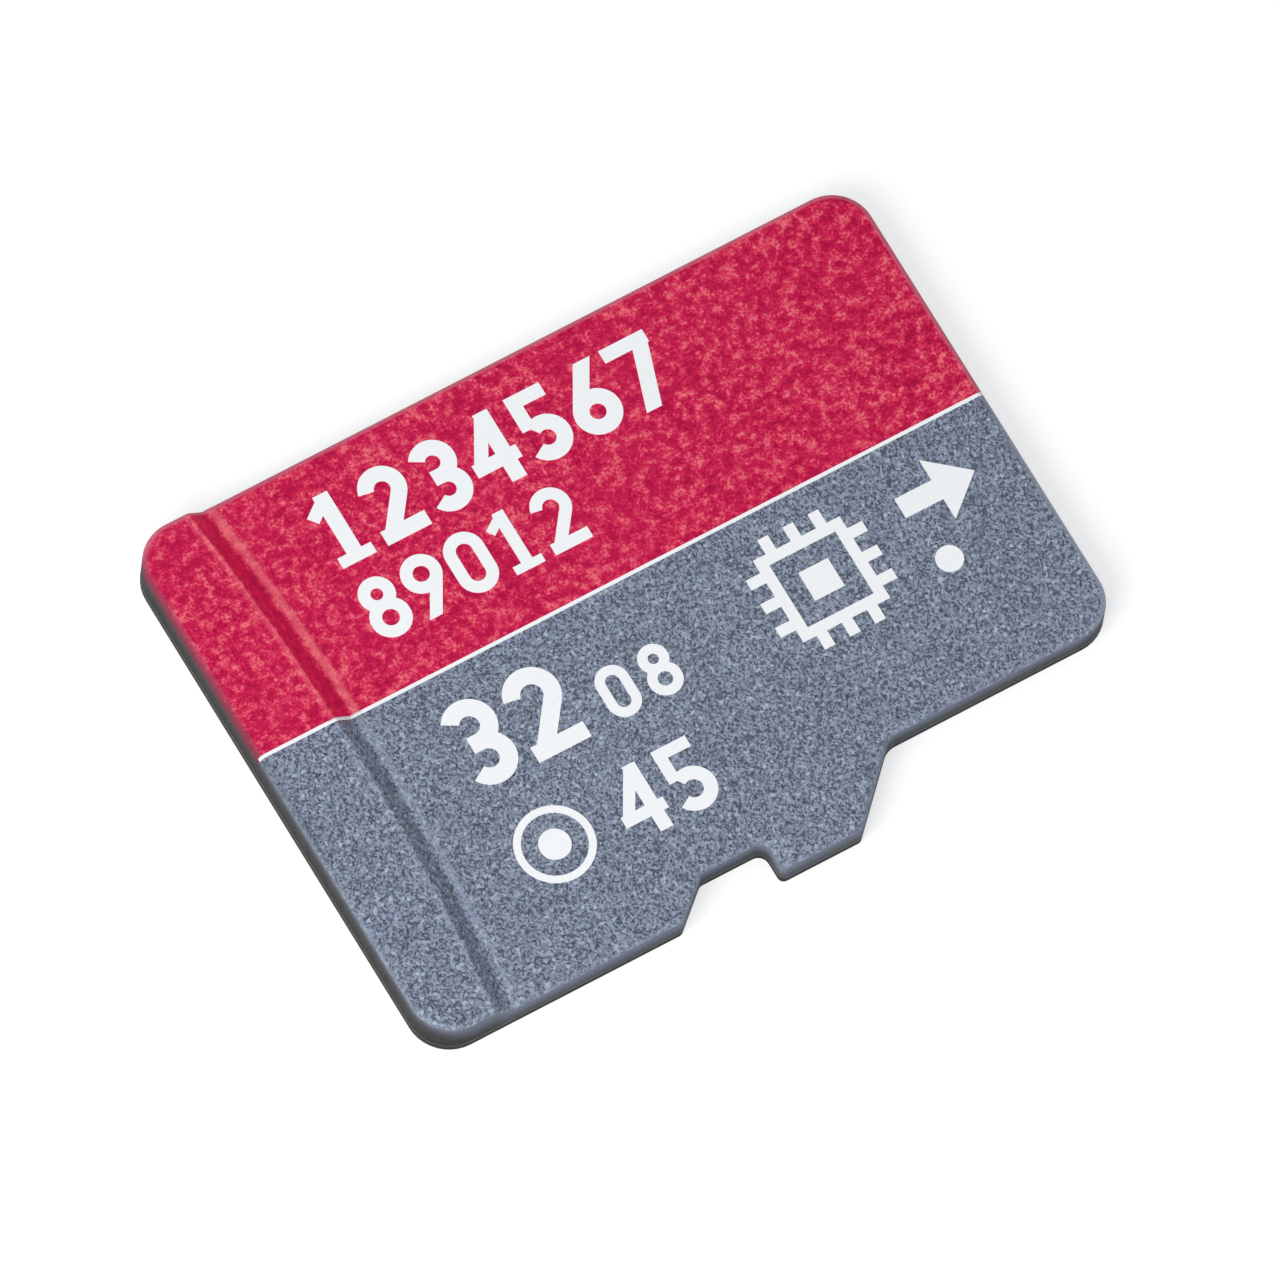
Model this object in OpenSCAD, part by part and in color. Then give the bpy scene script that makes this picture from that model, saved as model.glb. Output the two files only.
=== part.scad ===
// A microSD memory card, lying on its contact face with the label up.
// It is a small circuit board with eight gold contacts underneath, silicon
// dies and a few passives on top, all set in one black moulding that also
// forms the grip ridge. The label is ink on the moulding.
// +X points to the contact end, +Y to the plain long side, +Z up.
// The origin is at the middle of the contact face.

/* [Outline] */
// Length from the grip end to the contact end
card_l = 15; // [14.7:0.1:15.5]
// Width across the grip end
card_w = 11; // [10.8:0.1:11.4]
// How much narrower the contact end is, all of it on the notched side
step_d = 1.3; // [1.1:0.05:1.4]
// Radius of the four outer corners
corner_r = 0.8; // [0.6:0.05:1]
// Distance from the contact end to the locking wall of the notch
lock_from_nose = 7.8; // [7.6:0.05:8]
// Length of the tooth between the notch and the sloping step
tooth_l = 1.65; // [1.4:0.05:1.8]
// Length of the flat floor of the notch
notch_l = 1.3; // [1.1:0.05:1.5]
// Depth of the notch
notch_d = 0.65; // [0.5:0.05:0.75]
// Length of the ramp that leads down into the notch
ramp_l = 0.75; // [0.6:0.05:0.9]
// Inner radius between the notch floor and the locking wall
lock_r = 0.2; // [0.1:0.05:0.3]
// Inner radius at the foot of the sloping step
step_r = 0.4; // [0.2:0.05:0.6]
// Radius of the small outer corners of the tooth and ramps
tip_r = 0.12; // [0.1:0.01:0.2]

/* [Thickness] */
// Thickness of the card under the label
card_t = 0.7; // [0.66:0.02:0.8]
// Thickness at the grip ridge
grip_t = 1; // [0.9:0.02:1.1]
// Length of the flat top of the grip ridge, on the card's middle line
grip_l = 1.55; // [1.3:0.05:1.8]
// Length of the sloping front of the grip ridge
slope_l = 0.36; // [0.3:0.02:0.5]
// Plan radius of the bowed line that the front of the ridge follows
bow_r = 45; // [30:1:60]
// Radius of the hollow at the foot of the slope
foot_r = 0.08; // [0.04:0.01:0.1]

/* [Print] */
// Thickness of the coloured inks
ink_t = 0.02; // [0.01:0.005:0.03]
// Thickness of the white overprint
white_t = 0.01; // [0.01:0.005:0.02]
// Bare margin between the inks and the card's edge
ink_margin = 0.06; // [0.03:0.01:0.1]
// Place across the card of the white line between the two inks
split_y = 0.745; // [0.4:0.05:1.2]
// Width of the white line
split_w = 0.07; // [0.05:0.01:0.12]
// Distance from the grip end to the left edge of the print
print_x = 3.12; // [2.8:0.05:3.4]
// Height of the figures in the upper row
upper_row_h = 1.46; // [1.3:0.02:1.5]
// Height of the figures in the lower row
lower_row_h = 1.24; // [1:0.02:1.3]
// Height of the large number
capacity_h = 1.74; // [1.5:0.02:1.8]
// Height of the small number beside the large one
unit_h = 1.05; // [0.9:0.05:1.2]
// Height of the number below the large one
rating_h = 1.4; // [1.2:0.05:1.5]
// Outer radius of the ring sign
ring_r = 0.75; // [0.6:0.05:0.8]
// Width of the chip sign, which the arrow and its dot follow
sign_size = 1.8; // [1.5:0.05:1.9]

/* [Circuit board] */
// Thickness of the laminate core
core_t = 0.13; // [0.1:0.01:0.16]
// Thickness of the solder resist on the contact face
resist_t = 0.025; // [0.02:0.005:0.04]
// Thickness of the plated copper and of the resist on the inner face
copper_t = 0.02; // [0.015:0.005:0.03]
// Width of a contact
contact_w = 0.8; // [0.7:0.05:0.9]
// Length of a signal contact
contact_l = 2.9; // [2.7:0.1:3.1]
// How far the two supply contacts reach past the others
supply_extra = 0.3; // [0.2:0.05:0.4]
// Spacing of the contacts
contact_pitch = 1.1; // [1.05:0.01:1.12]
// Distance from the contact end to the signal contacts
contact_from_nose = 1.1; // [0.9:0.05:1.3]
// Distance from the plain side to the last contact's edge
contact_from_side = 0.7; // [0.6:0.05:0.8]
// Depth of the contacts below the face of the resist
contact_recess = 0.005; // [0.002:0.001:0.01]
// Diameter of the filled vias
via_d = 0.16; // [0.12:0.01:0.2]

/* [Memory dies] */
// Length of a memory die
nand_l = 8; // [7.6:0.1:8.2]
// Width of a memory die
nand_w = 9; // [8.4:0.1:9.1]
// Thickness of a memory die
nand_t = 0.06; // [0.04:0.01:0.07]
// Thickness of the adhesive film under each die
film_t = 0.01; // [0.01:0.002:0.02]
// Step back of each die from the one below it
stair_l = 0.3; // [0.26:0.01:0.34]
// Distance from the grip end to the stack
nand_from_grip = 0.9; // [0.7:0.1:1.1]
// Bond wires along the stack
nand_wires = 14; // [8:2:16]
// Spacing of the bond wires along the stack
nand_wire_pitch = 0.62; // [0.5:0.01:0.64]

/* [Controller] */
// Length of the controller die
control_l = 2.3; // [2:0.1:2.5]
// Width of the controller die
control_w = 3.6; // [3.4:0.1:4]
// Thickness of the controller die
control_t = 0.08; // [0.06:0.01:0.12]
// Bond wires along each long side of the controller
control_wires = 8; // [4:2:8]
// Spacing of the bond wires on the controller
control_wire_pitch = 0.42; // [0.38:0.01:0.46]
// Diameter of a bond wire
wire_d = 0.02; // [0.016:0.002:0.025]
// Diameter of the ball that ends a bond wire
ball_d = 0.05; // [0.04:0.005:0.06]
// Length of a bond finger on the board
finger_l = 0.25; // [0.2:0.01:0.3]
// Width of a bond finger on the board
finger_w = 0.14; // [0.1:0.01:0.18]
// Width of a copper track
track_w = 0.05; // [0.04:0.01:0.07]

/* [Passives] */
// Length of a chip capacitor or resistor
chip_l = 0.6; // [0.55:0.01:0.65]
// Width of a chip capacitor or resistor
chip_w = 0.3; // [0.26:0.01:0.34]
// Height of a chip capacitor
chip_h = 0.3; // [0.24:0.01:0.34]
// Height of the chip resistor
resistor_h = 0.23; // [0.18:0.01:0.26]
// Length of each metal end of a chip
end_l = 0.15; // [0.1:0.01:0.18]
// Thickness of the solder under a chip
solder_t = 0.01; // [0.01:0.002:0.02]

/* [Hidden] */

// Memory dies in the stack
nand_count = 2;
// Turn of each flat piece of arc in a large and in a small rounded corner
large_step = 9;
small_step = 22.5;

grip_x = -card_l / 2;
nose_x = card_l / 2;
side_y = card_w / 2;

// Sharp corners of the outline, anticlockwise from above, each with its radius
lock_x = nose_x - lock_from_nose;
step_x = lock_x + tooth_l;
OUTLINE = [
    [grip_x, -side_y, corner_r],
    [lock_x - notch_l - ramp_l, -side_y, tip_r],
    [lock_x - notch_l, notch_d - side_y, tip_r],
    [lock_x, notch_d - side_y, lock_r],
    [lock_x, -side_y, tip_r],
    [step_x, -side_y, tip_r],
    [step_x + step_d, step_d - side_y, step_r],
    [nose_x, step_d - side_y, corner_r],
    [nose_x, side_y, corner_r],
    [grip_x, side_y, corner_r]
];

// Heights, from the contact face up
contact_z = contact_recess;
core_z = resist_t;
copper_z = core_z + core_t;
board_z = copper_z + copper_t;
body_z = card_t - ink_t;
ridge_z = grip_t - ink_t;

function unit(v) = v / norm(v);
function left(v) = [-v[1], v[0]];
function flat2(p) = [p[0], p[1]];

// The point where two lines meet, each given by a point and a direction
function meet(p, u, q, v) =
    let (w = q - p, d = u[0] * v[1] - u[1] * v[0])
    p + u * (w[0] * v[1] - w[1] * v[0]) / d;

// The arc that rounds one corner after both of its sides have moved in by inset
function rounded_corner(before, here, after, inset) =
    let (
        u = unit(flat2(here) - flat2(before)),
        v = unit(flat2(after) - flat2(here)),
        turn = atan2(u[0] * v[1] - u[1] * v[0], u * v),
        bend = turn > 0 ? 1 : -1,
        steps = ceil(abs(turn) / (here[2] > 0.3 ? large_step : small_step)),
        r = here[2] - bend * inset,
        tip = meet(flat2(here) + left(u) * inset, u, flat2(here) + left(v) * inset, v),
        tangent = tip - u * r * tan(abs(turn) / 2),
        centre = tangent + left(u) * bend * r
    )
    [for (i = [0:steps])
        let (a = turn * i / steps, s = tangent - centre)
        centre + [s[0] * cos(a) - s[1] * sin(a), s[0] * sin(a) + s[1] * cos(a)]];

// The arcs of some of the corners, by number
function corners(list, inset = 0) =
    let (n = len(OUTLINE))
    [for (i = list)
        each rounded_corner(OUTLINE[(i + n - 1) % n], OUTLINE[i], OUTLINE[(i + 1) % n], inset)];
function outline(inset = 0) = corners([0:9], inset);

// A plate with the card's outline
module plate(z, t, inset = 0) {
    translate([0, 0, z]) linear_extrude(t) polygon(outline(inset));
}

// Points of the small arc that rounds a corner between two directions, in degrees
function fillet(corner, arrive, leave, r, steps = 4) =
    let (
        turn = leave - arrive,
        bend = sign(turn),
        start = corner - [cos(arrive), sin(arrive)] * r * tan(abs(turn) / 2),
        centre = start + [-sin(arrive), cos(arrive)] * bend * r
    )
    [for (i = [0:steps])
        let (a = arrive + turn * i / steps) centre - [-sin(a), cos(a)] * bend * r];

// The round plug that bounds the grip ridge: its front is a cone with a rounded
// foot, so seen from above the slope follows a shallow bow
ridge_axis_x = grip_x + grip_l - bow_r;
slope_angle = atan2(ridge_z - body_z, slope_l);
slope_foot = fillet([bow_r + slope_l, body_z], 180, 180 - slope_angle, foot_r);
plug_over = 0.5;
plug_profile = concat(
    [[0, board_z - plug_over], [slope_foot[0][0], board_z - plug_over]],
    slope_foot,
    [[bow_r - plug_over / tan(slope_angle), ridge_z + plug_over], [0, ridge_z + plug_over]]
);
module ridge_plug() {
    translate([ridge_axis_x, 0, 0]) rotate_extrude($fn = 360) polygon(plug_profile);
}

// The moulding before anything is set in it, which is also what the inks lie on
module moulding() {
    plate(board_z, body_z - board_z);
    intersection() {
        plate(board_z, ridge_z - board_z);
        ridge_plug();
    }
}

// Places of the contacts
contact_row_y = side_y - contact_from_side - contact_w / 2 - 3.5 * contact_pitch;
contact_front_x = nose_x - contact_from_nose;
via_x = contact_front_x - via_d / 2 - 0.1;

function contact_y(i) = contact_row_y + (i - 4.5) * contact_pitch;
function row(i, n, pitch) = (i - (n - 1) / 2) * pitch;

// Places along the memory stack
stair_count = nand_count - 1;
nand_rear_x = grip_x + nand_from_grip + stair_l * stair_count;
nand_front_x = nand_rear_x + nand_l;
nand_y = (notch_d + 0.05) / 2;
nand_level = nand_t + film_t;
pad_inset = 0.13;
wire_reach = 0.4;
loop_rise = 0.12;
wire_gap = 0.03;

// Places round the controller
board_finger_x = nand_front_x + wire_reach - pad_inset;
rear_finger_x = board_finger_x + finger_l / 2 + 0.5;
control_x = rear_finger_x + wire_reach - pad_inset + control_l / 2;
front_finger_x = control_x + control_l / 2 + wire_reach - pad_inset;
control_y = contact_row_y;
control_top = board_z + film_t + control_t;

// Places of the chips: middle and the direction of their length
chip_x = control_x + 0.1;
CHIPS = [
    [chip_x, control_y + control_w / 2 + 0.6],
    [chip_x, control_y + control_w / 2 + 1.25],
    [chip_x, control_y - control_w / 2 - 0.6],
    [chip_x, control_y - control_w / 2 - 1.25]
];

module moulded_body() {
    color([0.12, 0.12, 0.13])
        difference() {
            moulding();
            pocket([nand_rear_x, nand_y - nand_w / 2], [nand_l, nand_w], board_z + nand_level);
            for (k = [1:nand_count - 1]) stack_layer(k, board_z + k * nand_level, nand_level);
            pocket([control_x, control_y] - [control_l, control_w] / 2, [control_l, control_w], control_top);
            for (i = [0:3])
                pocket(CHIPS[i] - [chip_l, chip_w] / 2, [chip_l, chip_w], chip_z + chip_height(i));
            memory_wire_slot();
            for (side = [-1, 1]) controller_wire_slot(side);
        }
}

// Room in the moulding that opens on its board side
module pocket(corner, size, top) {
    below = 0.1;
    translate([corner[0], corner[1], board_z - below]) cube([size[0], size[1], top - board_z + below]);
}

module laminate_core() {
    color([0.35, 0.33, 0.2])
        difference() {
            plate(core_z, core_t);
            for (i = [1:8])
                translate([via_x, contact_y(i), core_z - 1]) cylinder(h = core_t + 2, d = via_d, $fn = 32);
        }
}

// One contact seen from below, with small rounded corners
module contact_shape(i, spare = 0) {
    extra = i == 4 || i == 6 ? supply_extra : 0;
    r = 0.08;
    x = contact_front_x - contact_l;
    l = contact_l + extra;
    y = contact_y(i) - contact_w / 2;
    translate([x - spare, y - spare]) {
        translate([r, 0]) square([l + 2 * spare - 2 * r, contact_w + 2 * spare]);
        translate([0, r]) square([l + 2 * spare, contact_w + 2 * spare - 2 * r]);
        for (cx = [r, l + 2 * spare - r], cy = [r, contact_w + 2 * spare - r])
            translate([cx, cy]) circle(r, $fn = 32);
    }
}

module contact_side_resist() {
    color([0.05, 0.05, 0.05])
        difference() {
            plate(0, resist_t);
            translate([0, 0, -1]) linear_extrude(resist_t + 2) for (i = [1:8]) contact_shape(i);
        }
}

module contact(i) {
    color([0.85, 0.65, 0.3])
        translate([0, 0, contact_z]) linear_extrude(resist_t - contact_z) contact_shape(i);
}

module filled_vias() {
    color([0.75, 0.45, 0.3])
        for (i = [1:8])
            translate([via_x, contact_y(i), core_z]) cylinder(h = core_t, d = via_d, $fn = 32);
}

// A straight track on the board between two points
module track(a, b) {
    d = b - a;
    translate(a) rotate(atan2(d[1], d[0])) translate([0, -track_w / 2]) square([norm(d), track_w]);
}

module finger(x, y) {
    translate([x - finger_l / 2, y - finger_w / 2]) square([finger_l, finger_w]);
}

// Copper that the wires and the chips are joined to
module open_copper() {
    for (i = [0:nand_wires - 1])
        finger(board_finger_x, nand_y + row(i, nand_wires, nand_wire_pitch));
    for (i = [0:control_wires - 1], x = [rear_finger_x, front_finger_x])
        finger(x, control_y + row(i, control_wires, control_wire_pitch));
    for (c = CHIPS, s = [-1, 1])
        translate([c[0] + s * (chip_l - end_l) / 2 - end_l / 2, c[1] - chip_w / 2])
            square([end_l, chip_w]);
}

// Copper that the resist covers: the fan from the contacts to the controller,
// and from the controller to the memory
module covered_copper() {
    via_land = via_d + 0.12;
    for (i = [1:8]) translate([via_x, contact_y(i)]) circle(d = via_land, $fn = 32);
    used = min(control_wires, 8);
    for (i = [0:used - 1])
        track(
            [front_finger_x + finger_l / 2, control_y + row(i, used, control_wire_pitch)],
            [via_x, contact_y(i + 1 + (8 - used) / 2)]
        );
    fan = min(used, nand_wires);
    for (i = [0:fan - 1])
        track(
            [board_finger_x + finger_l / 2, nand_y + row(i, fan, nand_wire_pitch)],
            [rear_finger_x - finger_l / 2, control_y + row(i, fan, control_wire_pitch)]
        );
}

covered_t = copper_t * 0.7;
module inner_copper() {
    color([0.8, 0.55, 0.35])
        translate([0, 0, copper_z]) {
            linear_extrude(copper_t) open_copper();
            linear_extrude(covered_t) covered_copper();
        }
}

module inner_side_resist() {
    color([0.1, 0.25, 0.12])
        difference() {
            plate(copper_z, copper_t);
            translate([0, 0, copper_z - 1]) {
                linear_extrude(copper_t + 2) open_copper();
                linear_extrude(covered_t + 1) covered_copper();
            }
        }
}

// A die or its film: the lowest is number 0, and each next one steps back
module stack_layer(k, z, t) {
    translate([nand_rear_x - k * stair_l, nand_y - nand_w / 2, z]) cube([nand_l, nand_w, t]);
}

module die_film(k) {
    color([0.8, 0.75, 0.55])
        stack_layer(k, board_z + k * nand_level, film_t);
}

module memory_die(k) {
    color([0.45, 0.47, 0.52])
        stack_layer(k, board_z + k * nand_level + film_t, nand_t);
}

module controller_film() {
    color([0.8, 0.75, 0.55])
        translate([control_x - control_l / 2, control_y - control_w / 2, board_z])
            cube([control_l, control_w, film_t]);
}

module controller_die() {
    color([0.5, 0.5, 0.58])
        translate([control_x - control_l / 2, control_y - control_w / 2, board_z + film_t])
            cube([control_l, control_w, control_t]);
}

// Angle and radius of the arc that a wire follows from a to b, both [x, z]
function arch_radius(a, b, rise) = let (c = norm(b - a)) (c * c / 4 + rise * rise) / (2 * rise);
function arch_centre(a, b, rise) =
    let (r = arch_radius(a, b, rise)) (a + b) / 2 - left(unit(b - a)) * sign(b[0] - a[0]) * (r - rise);

// Half of the angle that the arc spans
function arch_half(a, b, rise) = asin(norm(b - a) / 2 / arch_radius(a, b, rise));

// One arched length of wire in the plane of X and Z
module arch(a, b, rise) {
    lo = a[0] < b[0] ? a : b;
    hi = a[0] < b[0] ? b : a;
    r = arch_radius(lo, hi, rise);
    c = arch_centre(lo, hi, rise);
    half = arch_half(lo, hi, rise);
    tilt = atan2(hi[1] - lo[1], hi[0] - lo[0]);
    translate([c[0], 0, c[1]])
        rotate([90, 0, 0])
            rotate(tilt + 90 - half)
                rotate_extrude(angle = 2 * half, $fn = 64)
                    translate([r, 0]) circle(d = wire_d, $fn = 16);
}

// The ball or stitch that holds a wire's end to its pad
bond_h = 0.025;
module bond(x, z) {
    translate([x, 0, z]) cylinder(h = bond_h, d = ball_d, $fn = 24);
}

// Pads of the stack from the top die down to the board, as [x, z]
wire_points = [
    for (k = [nand_count - 1:-1:0])
        [nand_front_x - k * stair_l - pad_inset, board_z + (k + 1) * nand_level],
    [board_finger_x, board_z]
];
grip_of_wire = [0, bond_h / 2];

module memory_bond_wires() {
    color([0.9, 0.7, 0.3])
        for (i = [0:nand_wires - 1])
            translate([0, nand_y + row(i, nand_wires, nand_wire_pitch), 0]) {
                for (p = wire_points) bond(p[0], p[1]);
                for (k = [0:len(wire_points) - 2])
                    arch(wire_points[k] + grip_of_wire, wire_points[k + 1] + grip_of_wire, loop_rise);
            }
}

// Pad on the controller and finger on the board, as [x, z], for the rear or the front row
function control_pad(side) = [control_x + side * (control_l / 2 - pad_inset), control_top];
function control_finger(side) = [side < 0 ? rear_finger_x : front_finger_x, board_z];

module controller_bond_wires() {
    color([0.9, 0.7, 0.3])
        for (side = [-1, 1], i = [0:control_wires - 1])
            translate([0, control_y + row(i, control_wires, control_wire_pitch), 0]) {
                bond(control_pad(side)[0], control_top);
                bond(control_finger(side)[0], board_z);
                arch(control_pad(side) + grip_of_wire, control_finger(side) + grip_of_wire, loop_rise);
            }
}

// Room in the moulding for one row of wires: a slot as wide as the row
module wire_slot(a, b, half_row, y) {
    lo = min(a[0], b[0]) - ball_d / 2 - wire_gap;
    hi = max(a[0], b[0]) + ball_d / 2 + wire_gap;
    top = max(a[1], b[1]) + bond_h / 2 + loop_rise + wire_gap;
    half_w = half_row + ball_d / 2 + wire_gap;
    pocket([lo, y - half_w], [hi - lo, 2 * half_w], top);
}

module memory_wire_slot() {
    half_row = row(nand_wires - 1, nand_wires, nand_wire_pitch);
    for (k = [0:len(wire_points) - 2]) wire_slot(wire_points[k], wire_points[k + 1], half_row, nand_y);
}

module controller_wire_slot(side) {
    half_row = row(control_wires - 1, control_wires, control_wire_pitch);
    wire_slot(control_pad(side), control_finger(side), half_row, control_y);
}

function chip_height(i) = i == 3 ? resistor_h : chip_h;
chip_z = board_z + solder_t;

// The ceramic between a chip's metal ends
module chip_middle(i) {
    translate([CHIPS[i][0] - chip_l / 2 + end_l, CHIPS[i][1] - chip_w / 2, chip_z])
        cube([chip_l - 2 * end_l, chip_w, chip_height(i)]);
}

module chip_end(i, side) {
    translate([CHIPS[i][0] + side * (chip_l - end_l) / 2 - end_l / 2, CHIPS[i][1] - chip_w / 2, chip_z])
        cube([end_l, chip_w, chip_height(i)]);
}

module chip_solder(i, side) {
    translate([CHIPS[i][0] + side * (chip_l - end_l) / 2 - end_l / 2, CHIPS[i][1] - chip_w / 2, board_z])
        cube([end_l, chip_w, solder_t]);
}

module capacitor(i) {
    color([0.6, 0.48, 0.36])
        chip_middle(i - 1);
}

module resistor() {
    color([0.08, 0.08, 0.1])
        chip_middle(3);
}

module capacitor_ends() {
    color([0.75, 0.76, 0.78])
        for (i = [0:2], side = [-1, 1]) chip_end(i, side);
}

module resistor_ends() {
    color([0.75, 0.76, 0.78])
        for (side = [-1, 1]) chip_end(3, side);
}

module solder_joints() {
    color([0.7, 0.71, 0.73])
        for (i = [0:3], side = [-1, 1]) chip_solder(i, side);
}

// Ink of even thickness on the moulding, between two lines across the card
module ink(from_y, to_y) {
    intersection() {
        difference() {
            translate([0, 0, ink_t]) moulding();
            moulding();
        }
        plate(board_z, grip_t, ink_margin);
        translate([-card_l, from_y, 0]) cube([2 * card_l, to_y - from_y, 2 * grip_t]);
    }
}

module red_ink() {
    color([0.78, 0.18, 0.32])
        ink(split_y + split_w / 2, card_w);
}

module grey_ink() {
    color([0.47, 0.5, 0.56])
        ink(-card_w, split_y - split_w / 2);
}

module white_line() {
    color([0.95, 0.95, 0.95])
        ink(split_y - split_w / 2, split_y + split_w / 2);
}

// Width of a figure as a share of its height
figure_ratio = 0.62;
function figure_w(h) = figure_ratio * h;

// A straight stroke from a to b
module stroke(a, b, s) {
    d = b - a;
    translate(a) rotate(atan2(d[1], d[0])) translate([0, -s / 2]) square([norm(d), s]);
}

// A wedge with its tip at the origin, from one angle to another
module wedge(from, to, reach) {
    polygon([[0, 0], for (i = [0:6]) let (a = from + (to - from) * i / 6) reach * [cos(a), sin(a)]]);
}

// A round stroke: part of a ring with outer radius r, from one angle to another
module bow(centre, r, s, from = 0, to = 360) {
    translate(centre)
        difference() {
            circle(r, $fn = 48);
            circle(r - s, $fn = 48);
            if (to - from < 360) wedge(to, from + 360, 3 * r);
        }
}

module figure_0(h, w, s) {
    r = w / 2;
    bow([r, h - r], r, s, 0, 180);
    bow([r, r], r, s, 180, 360);
    for (x = [0, w - s]) translate([x, r]) square([s, h - 2 * r]);
}

module figure_1(h, w, s) {
    translate([0.5 * w - s / 2, 0]) square([s, h]);
    translate([0.12 * w, 0]) square([0.76 * w, 0.75 * s]);
    stroke([0.1 * w, h - 1.35 * s], [0.5 * w, h - 0.42 * s], 0.8 * s);
}

module figure_2(h, w, s) {
    r = w / 2;
    bow([r, h - r], r, s, -35, 170);
    stroke([0.2 * w, s / 2], [r + (r - s / 2) * cos(-35), h - r + (r - s / 2) * sin(-35)], s);
    square([w, s]);
}

module figure_3(h, w, s) {
    r = (h + s) / 4;
    bow([w - r, h - r], r, s, -90, 150);
    bow([w - r, r], r, s, -150, 90);
    translate([w - 1.35 * r, (h - s) / 2]) square([0.4 * r, s]);
}

module figure_4(h, w, s) {
    stem_x = 0.88 * w - s;
    bar_y = 0.24 * h;
    translate([stem_x, 0]) square([s, h]);
    translate([0, bar_y]) square([w, 0.9 * s]);
    stroke([0.4 * s, bar_y + 0.4 * s], [stem_x + 0.5 * s, h - 0.2 * s], 0.85 * s);
}

module figure_5(h, w, s) {
    r = w / 2;
    bow([r, r], r, s, -150, 125);
    translate([0.1 * w, 0.5 * h]) square([0.9 * s, 0.5 * h]);
    translate([0.1 * w, h - 0.9 * s]) square([0.82 * w, 0.9 * s]);
}

module figure_6(h, w, s) {
    r = w / 2;
    start = [r + (r - s / 2) * cos(150), r + (r - s / 2) * sin(150)];
    bow([r, r], r, s);
    stroke(start, start + h * [cos(60), sin(60)], s);
}

module figure_7(h, w, s) {
    translate([0, h - 0.9 * s]) square([w, 0.9 * s]);
    stroke([w - s / 2, h - s / 2], [0.25 * w, -0.2 * h], s);
}

module figure_8(h, w, s) {
    upper_r = 0.235 * (h + s);
    lower_r = 0.265 * (h + s);
    bow([w / 2, h - upper_r], upper_r, s);
    bow([w / 2, lower_r], lower_r, s);
}

// One figure, h high and drawn with stroke s
module figure(n, h, s) {
    w = figure_w(h);
    intersection() {
        square([w, h]);
        union() {
            if (n == 0) figure_0(h, w, s);
            if (n == 1) figure_1(h, w, s);
            if (n == 2) figure_2(h, w, s);
            if (n == 3) figure_3(h, w, s);
            if (n == 4) figure_4(h, w, s);
            if (n == 5) figure_5(h, w, s);
            if (n == 6) figure_6(h, w, s);
            if (n == 7) figure_7(h, w, s);
            if (n == 8) figure_8(h, w, s);
            if (n == 9) translate([w, h]) rotate(180) figure_6(h, w, s);
        }
    }
}

// A row of figures from its lower left corner; stroke and gap are shares of the height
module figures(list, h, stroke_share, gap_share) {
    for (i = [0:len(list) - 1])
        translate([i * (figure_w(h) + gap_share * h), 0]) figure(list[i], h, stroke_share * h);
}

// Print on the label, placed from the print's left edge and the card's middle line
module printed(x, y) {
    translate([grip_x + print_x + x, y, card_t]) linear_extrude(white_t) children();
}

// Feet of the rows of print, and where the second thing in a row starts
lower_row_y = split_y + split_w / 2 + 0.73 * lower_row_h;
upper_row_y = lower_row_y + lower_row_h + 0.25 * upper_row_h;
number_row_y = split_y - split_w / 2 - 1.35 * capacity_h;
sign_row_y = number_row_y - 1.56 * rating_h;
unit_x = 5 / 3 * capacity_h;
rating_x = 2.7 * ring_r;
chip_sign_x = card_l / 2;

module upper_figures() {
    color([0.97, 0.97, 0.97])
        printed(0, upper_row_y) figures([1, 2, 3, 4, 5, 6, 7], upper_row_h, 0.205, 0.09);
}

module lower_figures() {
    color([0.97, 0.97, 0.97])
        printed(0, lower_row_y) figures([8, 9, 0, 1, 2], lower_row_h, 0.185, 0.1);
}

module capacity_figures() {
    color([0.97, 0.97, 0.97])
        printed(0, number_row_y) figures([3, 2], capacity_h, 0.19, 0.125);
}

module small_figures() {
    color([0.97, 0.97, 0.97]) {
        printed(unit_x, number_row_y) figures([0, 8], unit_h, 0.18, 0.2);
        printed(rating_x, sign_row_y) figures([4, 5], rating_h, 0.185, 0.1);
    }
}

// A chip with three leads on each side, from its middle
module chip_sign(size) {
    s = 0.12 * size;
    difference() {
        square(size, center = true);
        square(size - 2 * s, center = true);
    }
    square(0.34 * size, center = true);
    for (turn = [0:90:270], i = [-1:1])
        rotate(turn) translate([size / 2, i * size * 0.29 - s / 2]) square([0.17 * size, s]);
}

// An arrow that points to the contact end, from its middle
module arrow_sign(l) {
    w = 0.84 * l;
    s = 0.27 * l;
    head = 0.5 * l;
    translate([-l / 2, -s / 2]) square([l - head, s]);
    polygon([[l / 2 - head, -w / 2], [l / 2, 0], [l / 2 - head, w / 2]]);
}

module label_signs() {
    color([0.97, 0.97, 0.97]) {
        printed(ring_r, sign_row_y + rating_h / 2) {
            bow([0, 0], ring_r, 0.19 * ring_r);
            circle(0.4 * ring_r, $fn = 36);
        }
        printed(chip_sign_x, split_y - 0.97 * sign_size) chip_sign(sign_size);
        printed(chip_sign_x + 1.5 * sign_size, split_y - 0.69 * sign_size) arrow_sign(0.86 * sign_size);
        printed(chip_sign_x + 1.23 * sign_size, split_y - 1.39 * sign_size)
            circle(0.145 * sign_size, $fn = 36);
    }
}

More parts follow.
